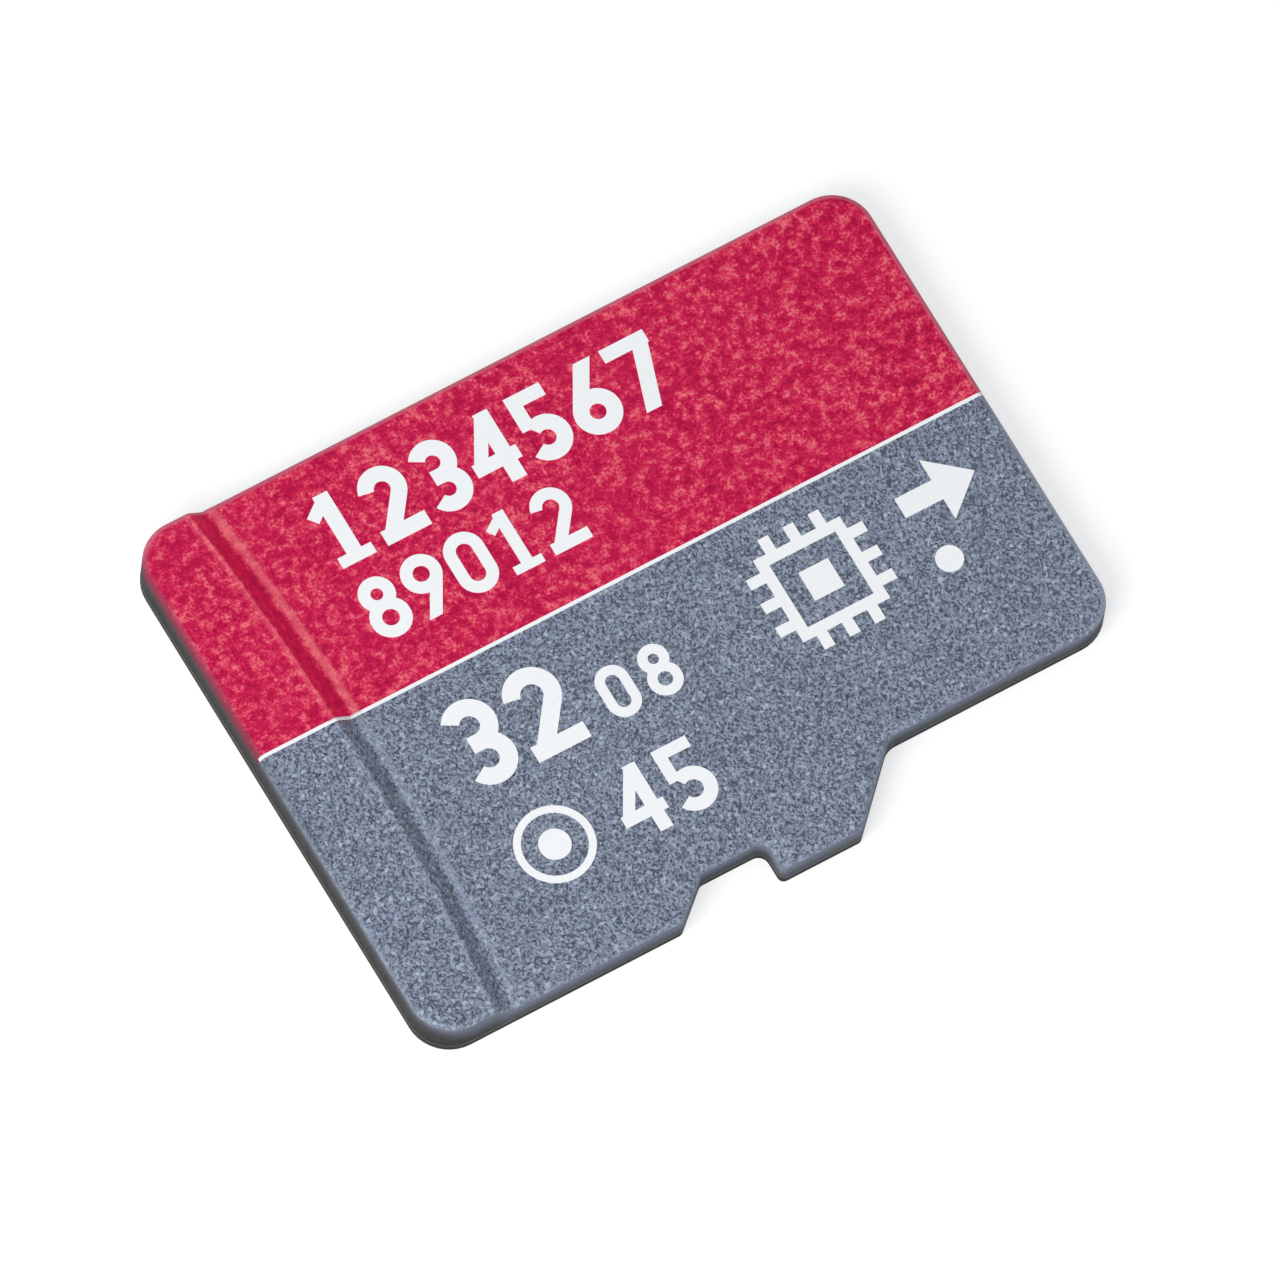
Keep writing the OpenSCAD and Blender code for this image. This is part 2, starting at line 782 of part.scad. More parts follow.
moulded_body();
laminate_core();
contact_side_resist();
inner_side_resist();
inner_copper();
filled_vias();
contact(1);  // contact_1_data_2
contact(2);  // contact_2_data_3
contact(3);  // contact_3_command
contact(4);  // contact_4_supply
contact(5);  // contact_5_clock
contact(6);  // contact_6_ground
contact(7);  // contact_7_data_0
contact(8);  // contact_8_data_1
die_film(0);  // lower_die_film
memory_die(0);  // lower_memory_die
die_film(1);  // upper_die_film
memory_die(1);  // upper_memory_die
memory_bond_wires();
controller_film();
controller_die();
controller_bond_wires();
capacitor(1);  // capacitor_1
capacitor(2);  // capacitor_2
capacitor(3);  // capacitor_3
resistor();
capacitor_ends();
resistor_ends();
solder_joints();
red_ink();
grey_ink();
white_line();
upper_figures();
lower_figures();
capacity_figures();
small_figures();
label_signs();
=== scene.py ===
# %% [markdown]
# # A microSD memory card
# The card is 15 mm long and lies on its contact face with the label up.
# The CAD model gives every solid in its true place, so Blender adds what a
# solid model leaves out: rounded edges, ink that wraps over them, relief
# under the solder resist, bond wires with real loops, and the finishes.
# We load the CAD model first, and its parts' boxes give sizes later on.

# %% Load the frame
import math

import bmesh
import bpy
from mathutils import Matrix, Vector


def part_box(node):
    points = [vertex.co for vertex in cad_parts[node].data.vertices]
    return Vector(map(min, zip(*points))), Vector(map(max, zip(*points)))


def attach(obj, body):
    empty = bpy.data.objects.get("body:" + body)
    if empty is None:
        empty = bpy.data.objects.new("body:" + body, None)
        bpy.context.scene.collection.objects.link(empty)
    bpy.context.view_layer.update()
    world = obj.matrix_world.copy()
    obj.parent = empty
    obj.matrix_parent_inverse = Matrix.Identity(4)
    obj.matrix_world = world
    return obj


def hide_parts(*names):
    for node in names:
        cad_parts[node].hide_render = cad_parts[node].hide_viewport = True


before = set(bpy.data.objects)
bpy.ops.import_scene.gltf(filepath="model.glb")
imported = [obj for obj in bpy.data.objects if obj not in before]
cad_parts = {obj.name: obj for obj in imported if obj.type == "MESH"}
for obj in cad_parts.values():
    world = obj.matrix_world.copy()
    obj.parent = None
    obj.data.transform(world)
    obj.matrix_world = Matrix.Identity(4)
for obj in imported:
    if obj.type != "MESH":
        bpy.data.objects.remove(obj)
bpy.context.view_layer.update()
MM = 0.001


# %% [markdown]
# ## The camera
# The photograph was taken from a long way off, so the card shows almost no
# perspective. A lens of about a metre gives the same flat look. The place and
# the turn come from the card's own straight edges in the picture.

# %% Place the camera
CAMERA_PLACE = (-0.153216, -0.194296, 0.583971)
CAMERA_RIGHT = (0.86261518, -0.50238948, 0.05915963)
CAMERA_UP = (0.4445093, 0.80861894, 0.38541781)
CAMERA_BACK = (-0.24146745, -0.30617025, 0.92084377)
LENS, SENSOR_W = 998.5, 36.0
NEAREST, FARTHEST = 0.05, 5.0

camera_data = bpy.data.cameras.new("camera")
camera_data.lens = LENS
camera_data.sensor_width = SENSOR_W
camera_data.clip_start = NEAREST
camera_data.clip_end = FARTHEST
camera = bpy.data.objects.new("camera", camera_data)
turn = Matrix((CAMERA_RIGHT, CAMERA_UP, CAMERA_BACK)).transposed()
camera.matrix_world = Matrix.Translation(CAMERA_PLACE) @ turn.to_4x4()
bpy.context.scene.collection.objects.link(camera)
bpy.context.scene.camera = camera
print("camera is", round(Vector(CAMERA_PLACE).length, 3), "m from the card, lens", camera_data.lens, "mm")

# %% [markdown]
# ## Light and floor
# The card was photographed in soft light that comes mostly from the grip end,
# so the slope of the grip ridge, which faces the other way, looks darker. One
# wide lamp does that, and an even world fills the shadows. The background is
# white to the camera, in mirrors and through glass, and lights no matt face.

# %% Give the world its light
FILL_COLOUR, FILL_POWER = (0.93, 0.97, 1.0, 1.0), 0.5

scene = bpy.context.scene
scene.view_settings.view_transform = "Standard"
world = bpy.data.worlds.new("studio")
scene.world = world
world.use_nodes = True
world_nodes = world.node_tree.nodes
world_links = world.node_tree.links
fill = world_nodes["Background"]
fill.inputs["Color"].default_value = FILL_COLOUR
fill.inputs["Strength"].default_value = FILL_POWER
white = world_nodes.new("ShaderNodeBackground")
white.inputs["Strength"].default_value = 1.0
path = world_nodes.new("ShaderNodeLightPath")
seen = world_nodes.new("ShaderNodeMath")
seen.operation = "MAXIMUM"
seen_through = world_nodes.new("ShaderNodeMath")
seen_through.operation = "MAXIMUM"
world_links.new(path.outputs["Is Camera Ray"], seen.inputs[0])
world_links.new(path.outputs["Is Glossy Ray"], seen.inputs[1])
world_links.new(seen.outputs[0], seen_through.inputs[0])
world_links.new(path.outputs["Is Transmission Ray"], seen_through.inputs[1])
mix = world_nodes.new("ShaderNodeMixShader")
world_links.new(seen_through.outputs[0], mix.inputs[0])
world_links.new(fill.outputs[0], mix.inputs[1])
world_links.new(white.outputs[0], mix.inputs[2])
world_links.new(mix.outputs[0], world_nodes["World Output"].inputs[0])
print("world fill:", FILL_POWER)


# %% Hang the lamp
KEY_PLACE, KEY_SIZE, KEY_POWER = (-0.086, -0.0375, 0.079), 0.075, 0.1125


def soft_lamp(name, place, size, power):
    """A square lamp that looks at the card's middle."""
    data = bpy.data.lights.new(name, "AREA")
    data.size = size
    data.energy = power
    lamp = bpy.data.objects.new(name, data)
    lamp.location = place
    lamp.rotation_euler = (-Vector(place)).to_track_quat("-Z", "Y").to_euler()
    scene.collection.objects.link(lamp)
    return lamp


key = soft_lamp("key_lamp", KEY_PLACE, KEY_SIZE, KEY_POWER)
print("key lamp is", round(key.location.length, 3), "m away")

# %% Lay the floor
FLOOR_SIZE, FLOOR_DROP = 0.6, 0.000002
half = FLOOR_SIZE / 2
floor_corners = [(x * half, y * half, -FLOOR_DROP) for x, y in ((-1, -1), (1, -1), (1, 1), (-1, 1))]
floor_mesh = bpy.data.meshes.new("floor")
floor_mesh.from_pydata(floor_corners, [], [(0, 1, 2, 3)])
floor = bpy.data.objects.new("floor", floor_mesh)
scene.collection.objects.link(floor)
print("floor:", FLOOR_SIZE, "m square")

# %% [markdown]
# ## How the finishes are written
# A finish is a small node tree. Writing `mask * 0.4 + 0.6` is easier to read
# than three nodes and their links, so one small class wraps a socket and lets
# Python's own signs add Math nodes. Every other node comes from one method
# that takes its type, its settings and what goes into its sockets.

# %% A socket that can be reckoned with
class Signal:
    """A node's output on which + - * / and ** add Math nodes."""

    def __init__(self, finish, socket):
        self.finish = finish
        self.socket = socket

    def reckon(self, operation, first, second):
        return self.finish.node("ShaderNodeMath", {0: first, 1: second}, operation=operation)

    def __add__(self, other):
        return self.reckon("ADD", self, other)

    def __radd__(self, other):
        return self.reckon("ADD", other, self)

    def __sub__(self, other):
        return self.reckon("SUBTRACT", self, other)

    def __rsub__(self, other):
        return self.reckon("SUBTRACT", other, self)

    def __mul__(self, other):
        return self.reckon("MULTIPLY", self, other)

    def __rmul__(self, other):
        return self.reckon("MULTIPLY", other, self)

    def __truediv__(self, other):
        return self.reckon("DIVIDE", self, other)

    def __rtruediv__(self, other):
        return self.reckon("DIVIDE", other, self)

    def __pow__(self, other):
        return self.reckon("POWER", self, other)


# %% One method that makes any node
class NodeMaker:
    """Makes the nodes of a tree."""

    def node(self, kind, sockets=None, out=0, stops=None, **settings):
        """The output of a new node. Its settings come first, then its sockets."""
        node = self.tree.nodes.new(kind)
        for setting, value in settings.items():
            setattr(node, setting, value)
        if stops:
            ramp = node.color_ramp.elements
            while len(ramp) < len(stops):
                ramp.new(0.5)
            for element, (position, colour) in zip(ramp, stops):
                element.position = position
                element.color = (*colour, 1.0)
        for socket, value in (sockets or {}).items():
            if isinstance(value, Signal):
                self.tree.links.new(value.socket, node.inputs[socket])
            elif isinstance(value, list):
                for signal in value:
                    self.tree.links.new(signal.socket, node.inputs[socket])
            else:
                node.inputs[socket].default_value = value
        return Signal(self, node.outputs[out])


# %% A finish
# A wave texture of scale 1 repeats its bands every 0.314 metres.
WAVE_PERIOD = 0.314
# The strips, in millimetres, in which the two edges away from the camera begin.
FAR_END_X, FAR_SIDE_Y = (6.9, 7.3), (4.9, 5.3)


class Finish(NodeMaker):
    """A material that is a Principled surface with procedural inputs."""

    def __init__(self, name, **uniform):
        self.material = bpy.data.materials.new(name)
        self.material.use_nodes = True
        self.tree = self.material.node_tree
        self.surface = self.tree.nodes["Principled BSDF"]
        for socket, value in uniform.items():
            self.surface.inputs[socket.replace("_", " ")].default_value = value
        self.place = self.node("ShaderNodeTexCoord", out="Object")

    def noise(self, size, detail=2.0, roughness=0.5, place=None):
        """Soft noise whose blots are about size metres wide."""
        return self.node("ShaderNodeTexNoise", {
            "Vector": place or self.place, "Scale": 1.0 / size, "Detail": detail,
            "Roughness": roughness}, out="Fac")

    def cells(self, size, out="Distance", place=None):
        """Cells about size metres wide."""
        return self.node("ShaderNodeTexVoronoi", {
            "Vector": place or self.place, "Scale": 1.0 / size}, out=out)

    def waves(self, size, direction, distortion=0.0, detail=2.0):
        """Bands across one direction, size metres apart."""
        return self.node("ShaderNodeTexWave", {
            "Vector": self.place, "Scale": WAVE_PERIOD / size, "Distortion": distortion,
            "Detail": detail}, out="Fac", bands_direction=direction)

    def stretched(self, x, y, z):
        """The object's coordinates, multiplied along each axis."""
        return self.node("ShaderNodeMapping", {"Vector": self.place, "Scale": (x, y, z)})

    def axis(self, name):
        """One of the object's coordinates."""
        return self.node("ShaderNodeSeparateXYZ", {0: self.place}, out=name)

    def carried(self, name):
        """A value that the mesh carries at each of its points."""
        return self.node("ShaderNodeAttribute", out="Fac", attribute_name=name)

    def far_side(self):
        """1 along the contact end and the plain side, 0 elsewhere."""
        end, side = (self.between(self.axis(name), low * MM, high * MM)
                     for name, (low, high) in (("X", FAR_END_X), ("Y", FAR_SIDE_Y)))
        return self.node("ShaderNodeMath", {0: end, 1: side}, operation="MAXIMUM")

    def between(self, share, low, high):
        """A share that climbs from 0 at low to 1 at high."""
        return self.node("ShaderNodeMapRange", {0: share, 1: low, 2: high, 3: 0.0, 4: 1.0})

    def mixed(self, share, first, second):
        """Two colours mixed by a share."""
        return self.node("ShaderNodeMix", {0: share, 6: first, 7: second}, out=2, data_type="RGBA")

    def relief(self, height, depth):
        """A bump depth metres deep."""
        return self.node("ShaderNodeBump", {"Height": height, "Distance": depth, "Strength": 1.0})

    def use(self, **signals):
        """Links signals to the surface's sockets."""
        for socket, value in signals.items():
            self.tree.links.new(value.socket, self.surface.inputs[socket.replace("_", " ")])
        return self.material


def tint(red, green, blue):
    """A screen colour, 0 to 255, as the linear colour that shaders use."""
    def linear(value):
        value /= 255.0
        return value / 12.92 if value <= 0.04045 else ((value + 0.055) / 1.055) ** 2.4
    return (linear(red), linear(green), linear(blue), 1.0)


print("a screen grey of 128 is", round(tint(128, 128, 128)[0], 3), "in a shader")

# %% [markdown]
# ## The moulding
# The black epoxy is full of fine silica, so it is dark grey rather than black
# and quite matt. The walls were sawn, which leaves faint upright strokes. The
# grain is noise, and the strokes are noise squeezed along Z. Some of the inks
# went over the edge and thin out down the wall, so the finish fades from
# epoxy to ink by an attribute that says how far below the top a point lies.
# The grey reaches lower on the notch side. The sunk walls of the notch and the narrow end get painted shade
# for the shadow in their recess: less ink reaches them, and they are painted darker.

# %% Finish of the moulding
SPLIT_Y = (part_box("grey_ink")[1].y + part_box("red_ink")[0].y) / 2
RED_MEAN = tint(196, 40, 78)
GREY_MEAN = tint(132, 139, 156)
OVERSPRAY, NOTCH_OVERSPRAY, OVERSPRAY_START = 0.46, 0.3, 0.02
SPLIT_SOFTNESS = 0.00002


def make_black_moulding():
    f = Finish("black_moulding", IOR=1.5, Specular_IOR_Level=0.05)
    grain = f.noise(0.00005, detail=3.0)
    silica = f.between(f.cells(0.00009), 0.36, 0.12)
    strokes = f.noise(0.00012, detail=3.0, place=f.stretched(1.0, 1.0, 0.12))
    tone = grain * 0.5 + strokes * 0.5
    base = f.mixed(f.between(tone, 0.3, 0.7), tint(50, 49, 49), tint(74, 72, 72))
    speck = f.mixed(silica * 0.3, base, tint(116, 118, 120))
    along, across = f.axis("X"), f.axis("Y")
    is_red = f.between(across, SPLIT_Y - SPLIT_SOFTNESS, SPLIT_Y + SPLIT_SOFTNESS)
    ink = f.mixed(is_red, GREY_MEAN, RED_MEAN)
    notch_side = (f.between(across, -3.6 * MM, -4.2 * MM)
                  * f.between(along, -7.45 * MM, -6.6 * MM) * f.between(along, 7.45 * MM, 6.6 * MM))
    # Painted shade: a mask for the sunk walls of the notch and the narrow end, which lie in the recess's
    # shadow.
    recess_shade = notch_side * f.between(across, -5.3 * MM, -5.0 * MM)
    below = f.carried("below_top") + (strokes - 0.5) * 0.16
    thin = f.between(below, OVERSPRAY + NOTCH_OVERSPRAY * notch_side, OVERSPRAY_START)
    # Painted shade: less ink reaches the sunk walls, and they are painted darker.
    fade = thin ** (2.7 - 0.6 * is_red - 1.8 * notch_side + 0.4 * recess_shade)
    bare = f.mixed(recess_shade * 0.6, speck, tint(20, 22, 26))
    colour = f.mixed(fade * (1.0 - 0.3 * is_red), bare, ink)
    height = grain * 0.6 + strokes * 0.8 + silica * 0.3
    return f.use(Base_Color=colour, Roughness=0.52 + 0.2 * grain,
                 Normal=f.relief(height, 0.000006))


black_moulding = make_black_moulding()
print("made", black_moulding.name)

# %% [markdown]
# ## The red ink
# Seen close, the red is not even. Small coral highs and magenta lows sit side
# by side, about a tenth of a millimetre across, because the ink follows the
# spark-eroded texture of the mould. Two noises make the mottle, and the same
# noises drive the bump, so light and colour agree. Two attributes of the skin
# say where the slope, the crest, the bead and the rim are. The slope is a
# deeper red, and painted light lifts it, as it faces away from the lamp. The
# crest and the bead get a painted highlight. The rims that face the lamp get a
# dark veil of thin ink and painted shade, and the far rims a painted highlight.

# %% Finish of the red ink
def make_red_ink():
    f = Finish("red_ink", IOR=1.45, Specular_IOR_Level=0.2)
    mottle = f.noise(0.00016, detail=3.0, roughness=0.6)
    fine = f.noise(0.00005, detail=2.0)
    clouds = f.noise(0.0014, detail=1.0)
    slope, edge, far = f.carried("slope"), f.carried("edge"), f.far_side()
    # Painted light with a deeper ink: the slope, which faces away from the lamp, is lifted to a brighter,
    # saturated red.
    deep_red_and_painted_light = f.between(slope, 0.0, 0.8)
    # Painted highlight: below 0, the slope value marks the crest and the bead.
    painted_highlight = f.between(slope, 0.0, -1.0)
    level = f.between(mottle * 0.62 + fine * 0.38 + 0.06 * painted_highlight, 0.36, 0.64)
    colour = f.node("ShaderNodeValToRGB", {0: level}, stops=[
        (0.0, tint(166, 0, 56)[:3]), (0.36, tint(198, 10, 72)[:3]),
        (0.62, tint(218, 46, 87)[:3]), (1.0, tint(248, 118, 126)[:3])])
    colour = f.mixed(f.between(clouds, 0.35, 0.7) * 0.2, colour, tint(212, 24, 84))
    # Painted highlight: the crest and the bead are lightened to coral.
    colour = f.mixed(painted_highlight * 0.45, colour, tint(252, 122, 134))
    # Painted light: the slope is mixed toward a bright, deep red.
    colour = f.mixed(deep_red_and_painted_light * 0.86, colour, f.mixed(level, tint(208, 0, 82), tint(255, 10, 80)))
    # The rims that face the lamp get a dark veil of thin ink and painted shade; the far rims get a painted
    # highlight.
    colour = f.mixed(edge ** (0.8 - 0.35 * far), colour,
                     f.mixed(far, tint(130, 56, 81), tint(222, 120, 140)))
    return f.use(Base_Color=colour, Roughness=0.42 + 0.22 * fine,
                 Normal=f.relief(level, 0.000010))


red_ink = make_red_ink()
print("made", red_ink.name)

# %% [markdown]
# ## The grey ink
# The grey holds flakes of mica. Each flake is its own small mirror, so the
# surface looks like fine sand in which single grains are bluish, violet or
# greenish. Large Voronoi cells give each flake a random hue and choose the
# few whose glint is painted in as a bright bluish white. Smaller cells and a
# soft noise set how bright each grain is. A painted highlight lightens the
# crest, the bead and the rims, most of all the rims away from the lamp.

# %% Finish of the grey ink
def make_grey_ink():
    f = Finish("grey_ink", IOR=1.5)
    flake = f.cells(0.000062, out="Color")
    parts = f.node("ShaderNodeSeparateColor", {0: flake})
    small = f.cells(0.000034, out="Color")
    hue = f.node("ShaderNodeValToRGB", {0: parts}, stops=[
        (0.0, tint(88, 104, 116)[:3]), (0.35, tint(108, 115, 134)[:3]),
        (0.7, tint(122, 118, 145)[:3]), (1.0, tint(102, 132, 134)[:3])])
    level = f.node("ShaderNodeSeparateColor", {0: small}, out="Green")
    soft = f.noise(0.0001, detail=2.0)
    # Painted glint: the few flakes chosen here are painted a bright bluish white.
    painted_glint = f.between(f.node("ShaderNodeSeparateColor", {0: flake}, out="Blue"), 0.86, 1.0)
    # Painted highlight on the crest and the bead.
    painted_highlight = f.between(f.carried("slope"), 0.0, -1.0)
    bright = f.between(level * 0.55 + soft * 0.45 + 0.22 * painted_highlight, 0.285, 0.715)
    colour = f.mixed(bright, tint(26, 34, 54), tint(164, 174, 198))
    colour = f.mixed(0.3, colour, hue)
    # The painted glints go into the colour.
    colour = f.mixed(painted_glint * 0.55, colour, tint(206, 220, 228))
    edge, far = f.carried("edge"), f.far_side()
    # Painted highlight on the rims, strongest on the rims away from the lamp.
    colour = f.mixed(edge ** (1.0 - 0.5 * far) * (0.35 + 0.45 * far), colour,
                     f.mixed(far, tint(142, 156, 174), tint(184, 190, 212)))
    return f.use(Base_Color=colour, Roughness=0.36 + 0.25 * level,
                 Normal=f.relief(bright, 0.000006))


grey_ink = make_grey_ink()
print("made", grey_ink.name)

# %% [markdown]
# ## The white ink
# The print and the line are a dense white. A screen leaves a faint orange-peel
# and a few pits in it, which one noise and some cells make.

# %% Finish of the white ink
def make_white_ink():
    f = Finish("white_ink", IOR=1.45)
    mottle = f.noise(0.0001, detail=2.0)
    pits = f.between(f.cells(0.00012), 0.1, 0.3)
    colour = f.mixed(mottle, tint(247, 248, 250), tint(255, 255, 255))
    return f.use(Base_Color=colour, Roughness=0.42 + 0.16 * mottle,
                 Normal=f.relief(mottle * 0.7 + pits * 0.3, 0.000004))


white_ink = make_white_ink()
print("made", white_ink.name)

# %% [markdown]
# ## The contact face
# The pads are gold over nickel. Each time the card goes in, a spring wipes
# along the pad, so fine scratches run along X, and stains dull the gold a
# little. The black resist between the pads is glossy and shows a faint weave
# from the glass cloth below it. Copper shines through it a little browner. The
# resist on the board's inner face is a dark green.

# %% Finish of the gold pads
def make_gold():
    f = Finish("gold", Metallic=1.0)
    wipe = f.noise(0.00004, detail=4.0, roughness=0.6, place=f.stretched(0.02, 1.0, 1.0))
    grain = f.noise(0.00003, detail=2.0)
    stain = f.noise(0.0009, detail=2.0)
    colour = f.mixed(f.between(stain, 0.35, 0.75), (0.93, 0.66, 0.27, 1.0), (0.84, 0.54, 0.2, 1.0))
    colour = f.mixed(f.between(wipe, 0.62, 0.74) * 0.5, colour, (0.97, 0.8, 0.5, 1.0))
    return f.use(Base_Color=colour, Roughness=0.2 + 0.28 * wipe,
                 Normal=f.relief(wipe * 0.8 + grain * 0.4, 0.000003))


gold = make_gold()
print("made", gold.name)


# %% Finishes of the resists
THREAD_STEP = 0.0003


def make_resist(name, low, high):
    """A glossy resist in which the glass cloth shows faintly."""
    f = Finish(name, IOR=1.52, Coat_Weight=0.15)
    along, across = (f.waves(THREAD_STEP, way, distortion=1.2, detail=1.0) for way in "XY")
    peel = f.noise(0.00025, detail=2.0)
    weave = along * across
    colour = f.mixed(0.6 * peel + 0.4 * weave, low, high)
    return f.use(Base_Color=colour, Roughness=0.2 + 0.2 * peel,
                 Normal=f.relief(peel * 0.7 + weave * 0.5, 0.000005))


black_resist = make_resist("black_resist", (0.012, 0.012, 0.014, 1.0), (0.034, 0.034, 0.038, 1.0))
covered_copper = make_resist("covered_copper", (0.030, 0.026, 0.022, 1.0), (0.062, 0.054, 0.045, 1.0))
green_resist = make_resist("green_resist", (0.012, 0.04, 0.022, 1.0), (0.03, 0.075, 0.045, 1.0))
print("made", black_resist.name, covered_copper.name, green_resist.name)

# %% [markdown]
# ## The laminate
# Only the sawn edge of the board shows. It is dark resin with bundles of glass
# in layers, so stretched cells make the bundles and waves make the layers.

# %% Finish of the laminate
def make_laminate():
    f = Finish("laminate", IOR=1.5, Specular_IOR_Level=0.12)
    bundles = f.cells(0.00006, place=f.stretched(0.35, 0.35, 1.6))
    layers = f.waves(0.00006, "Z", distortion=2.0)
    grain = f.noise(0.00004, detail=3.0)
    level = f.between(bundles * 0.7 + grain * 0.5 + layers * 0.25, 0.3, 0.9)
    colour = f.mixed(level, tint(22, 22, 19), tint(50, 49, 43))
    return f.use(Base_Color=colour, Roughness=0.5 + 0.25 * grain,
                 Normal=f.relief(level, 0.000008))


laminate = make_laminate()
print("made", laminate.name)

# %% [markdown]
# ## What is sealed inside
# Nobody sees the dies and the chips until the card is cut open, but a cut-away
# or an exploded view should still look right. Silicon is a dark mirror with
# blocks of circuits, the films are cured glue, and the chips are ceramic with
# tinned ends.

# %% Finishes of the inner pieces
def make_silicon():
    f = Finish("silicon", Metallic=0.85)
    blocks = f.node("ShaderNodeTexBrick", {
        "Vector": f.place, "Color1": (0.30, 0.32, 0.42, 1.0), "Color2": (0.42, 0.37, 0.46, 1.0),
        "Mortar": (0.20, 0.22, 0.27, 1.0), "Scale": 1000.0, "Mortar Size": 0.02,
        "Brick Width": 1.9, "Row Height": 0.55}, out="Color")
    rows = f.waves(0.00003, "Y")
    dust = f.noise(0.0004, detail=3.0)
    colour = f.mixed(rows * 0.3, blocks, (0.5, 0.52, 0.6, 1.0))
    return f.use(Base_Color=colour, Roughness=0.16 + 0.2 * dust,
                 Normal=f.relief(rows * 0.4 + dust * 0.6, 0.000001))


def make_grainy(name, low, high, size, depth, metal=0.0, rough=0.5):
    """A finish of two tones in grains of one size."""
    f = Finish(name, Metallic=metal, IOR=1.5)
    grain = f.noise(size, detail=3.0, roughness=0.6)
    specks = f.cells(size * 1.7)
    level = f.between(grain * 0.7 + specks * 0.4, 0.25, 0.75)
    return f.use(Base_Color=f.mixed(level, low, high), Roughness=rough - 0.1 + 0.2 * grain,
                 Normal=f.relief(level, depth))


silicon = make_silicon()
die_adhesive = make_grainy("die_adhesive", (0.62, 0.52, 0.3, 1), (0.8, 0.72, 0.46, 1),
                           0.00012, 0.000003, rough=0.35)
copper = make_grainy("copper", (0.78, 0.4, 0.24, 1), (0.9, 0.56, 0.38, 1),
                     0.00003, 0.000002, metal=1.0, rough=0.32)
tin = make_grainy("tin", (0.62, 0.63, 0.65, 1), (0.8, 0.81, 0.83, 1),
                  0.00003, 0.000003, metal=1.0, rough=0.38)
capacitor_ceramic = make_grainy("capacitor_ceramic", (0.42, 0.3, 0.2, 1), (0.62, 0.47, 0.33, 1),
                                0.00003, 0.000003)
resistor_ceramic = make_grainy("resistor_ceramic", (0.03, 0.03, 0.035, 1), (0.09, 0.09, 0.1, 1),
                               0.00003, 0.000003)
print("inner finishes:", silicon.name, die_adhesive.name, copper.name, tin.name,
      capacitor_ceramic.name, resistor_ceramic.name)

# %% [markdown]
# ## The floor's finish
# The floor is a plain grey that keeps the card's shadow. A glow that only the
# camera and mirrors see lifts it to the white of the background.

# %% Finish of the floor
FLOOR_GLOW = 0.62
floor_finish = Finish("floor_white", Base_Color=(0.5, 0.5, 0.5, 1.0), Roughness=0.9)
by_camera = floor_finish.node("ShaderNodeLightPath", out="Is Camera Ray")
in_mirrors = floor_finish.node("ShaderNodeLightPath", out="Is Glossy Ray")
seen_floor = floor_finish.node("ShaderNodeMath", {0: by_camera, 1: in_mirrors}, operation="MAXIMUM")
glow = floor_finish.node("ShaderNodeEmission", {
    "Color": (1.0, 1.0, 1.0, 1.0), "Strength": FLOOR_GLOW * seen_floor}, out="Emission")
plain = Signal(floor_finish, floor_finish.surface.outputs[0])
both = floor_finish.node("ShaderNodeAddShader", {0: plain, 1: glow})
floor_finish.tree.links.new(both.socket, floor_finish.tree.nodes["Material Output"].inputs["Surface"])
floor.data.materials.append(floor_finish.material)
print("floor finish:", floor_finish.material.name)

# %% [markdown]
# ## The outline
# The outline is a chain of straight sides and round corners. Each of its
# points keeps the direction that faces outwards there, so the same chain
# moved inwards is one subtraction, and every ring of a rounded edge has the
# same number of points.

# %% Sizes of the outline
CARD_L, CARD_W = 15.0, 11.0
GRIP_X, NOSE_X, SIDE_Y = -CARD_L / 2, CARD_L / 2, CARD_W / 2
NOTCH_D, NOTCH_L, RAMP_L = 0.65, 1.3, 0.75
NOSE_TO_LOCK, TOOTH_L, STEP_D = 7.8, 1.65, 1.3
LOCK_X = NOSE_X - NOSE_TO_LOCK
STEP_X = LOCK_X + TOOTH_L
CORNER_R, TIP_R, LOCK_R, STEP_R = 0.8, 0.12, 0.2, 0.4
ARC_STEP = 7.5
CORNERS = [
    (GRIP_X, -SIDE_Y, CORNER_R),
    (LOCK_X - NOTCH_L - RAMP_L, -SIDE_Y, TIP_R),
    (LOCK_X - NOTCH_L, NOTCH_D - SIDE_Y, TIP_R),
    (LOCK_X, NOTCH_D - SIDE_Y, LOCK_R),
    (LOCK_X, -SIDE_Y, TIP_R),
    (STEP_X, -SIDE_Y, TIP_R),
    (STEP_X + STEP_D, STEP_D - SIDE_Y, STEP_R),
    (NOSE_X, STEP_D - SIDE_Y, CORNER_R),
    (NOSE_X, SIDE_Y, CORNER_R),
    (GRIP_X, SIDE_Y, CORNER_R),
]


def round_corner(number):
    """Points and outward directions along one rounded corner."""
    before, here, after = (CORNERS[(number + k) % len(CORNERS)] for k in (-1, 0, 1))
    tip = Vector(here[:2])
    arrive = (tip - Vector(before[:2])).normalized()
    leave = (Vector(after[:2]) - tip).normalized()
    angle = math.atan2(arrive.x * leave.y - arrive.y * leave.x, arrive.dot(leave))
    side = 1 if angle > 0 else -1
    inward = Vector((-arrive.y, arrive.x)) * side
    centre = tip - arrive * here[2] * math.tan(abs(angle) / 2) + inward * here[2]
    steps = max(3, round(abs(math.degrees(angle)) / ARC_STEP))
    points = []
    for k in range(steps + 1):
        out = Matrix.Rotation(angle * k / steps, 2) @ (-inward)
        points.append((centre + out * here[2], out * side))
    return points


print("corner points:", [len(round_corner(n)) for n in range(len(CORNERS))])

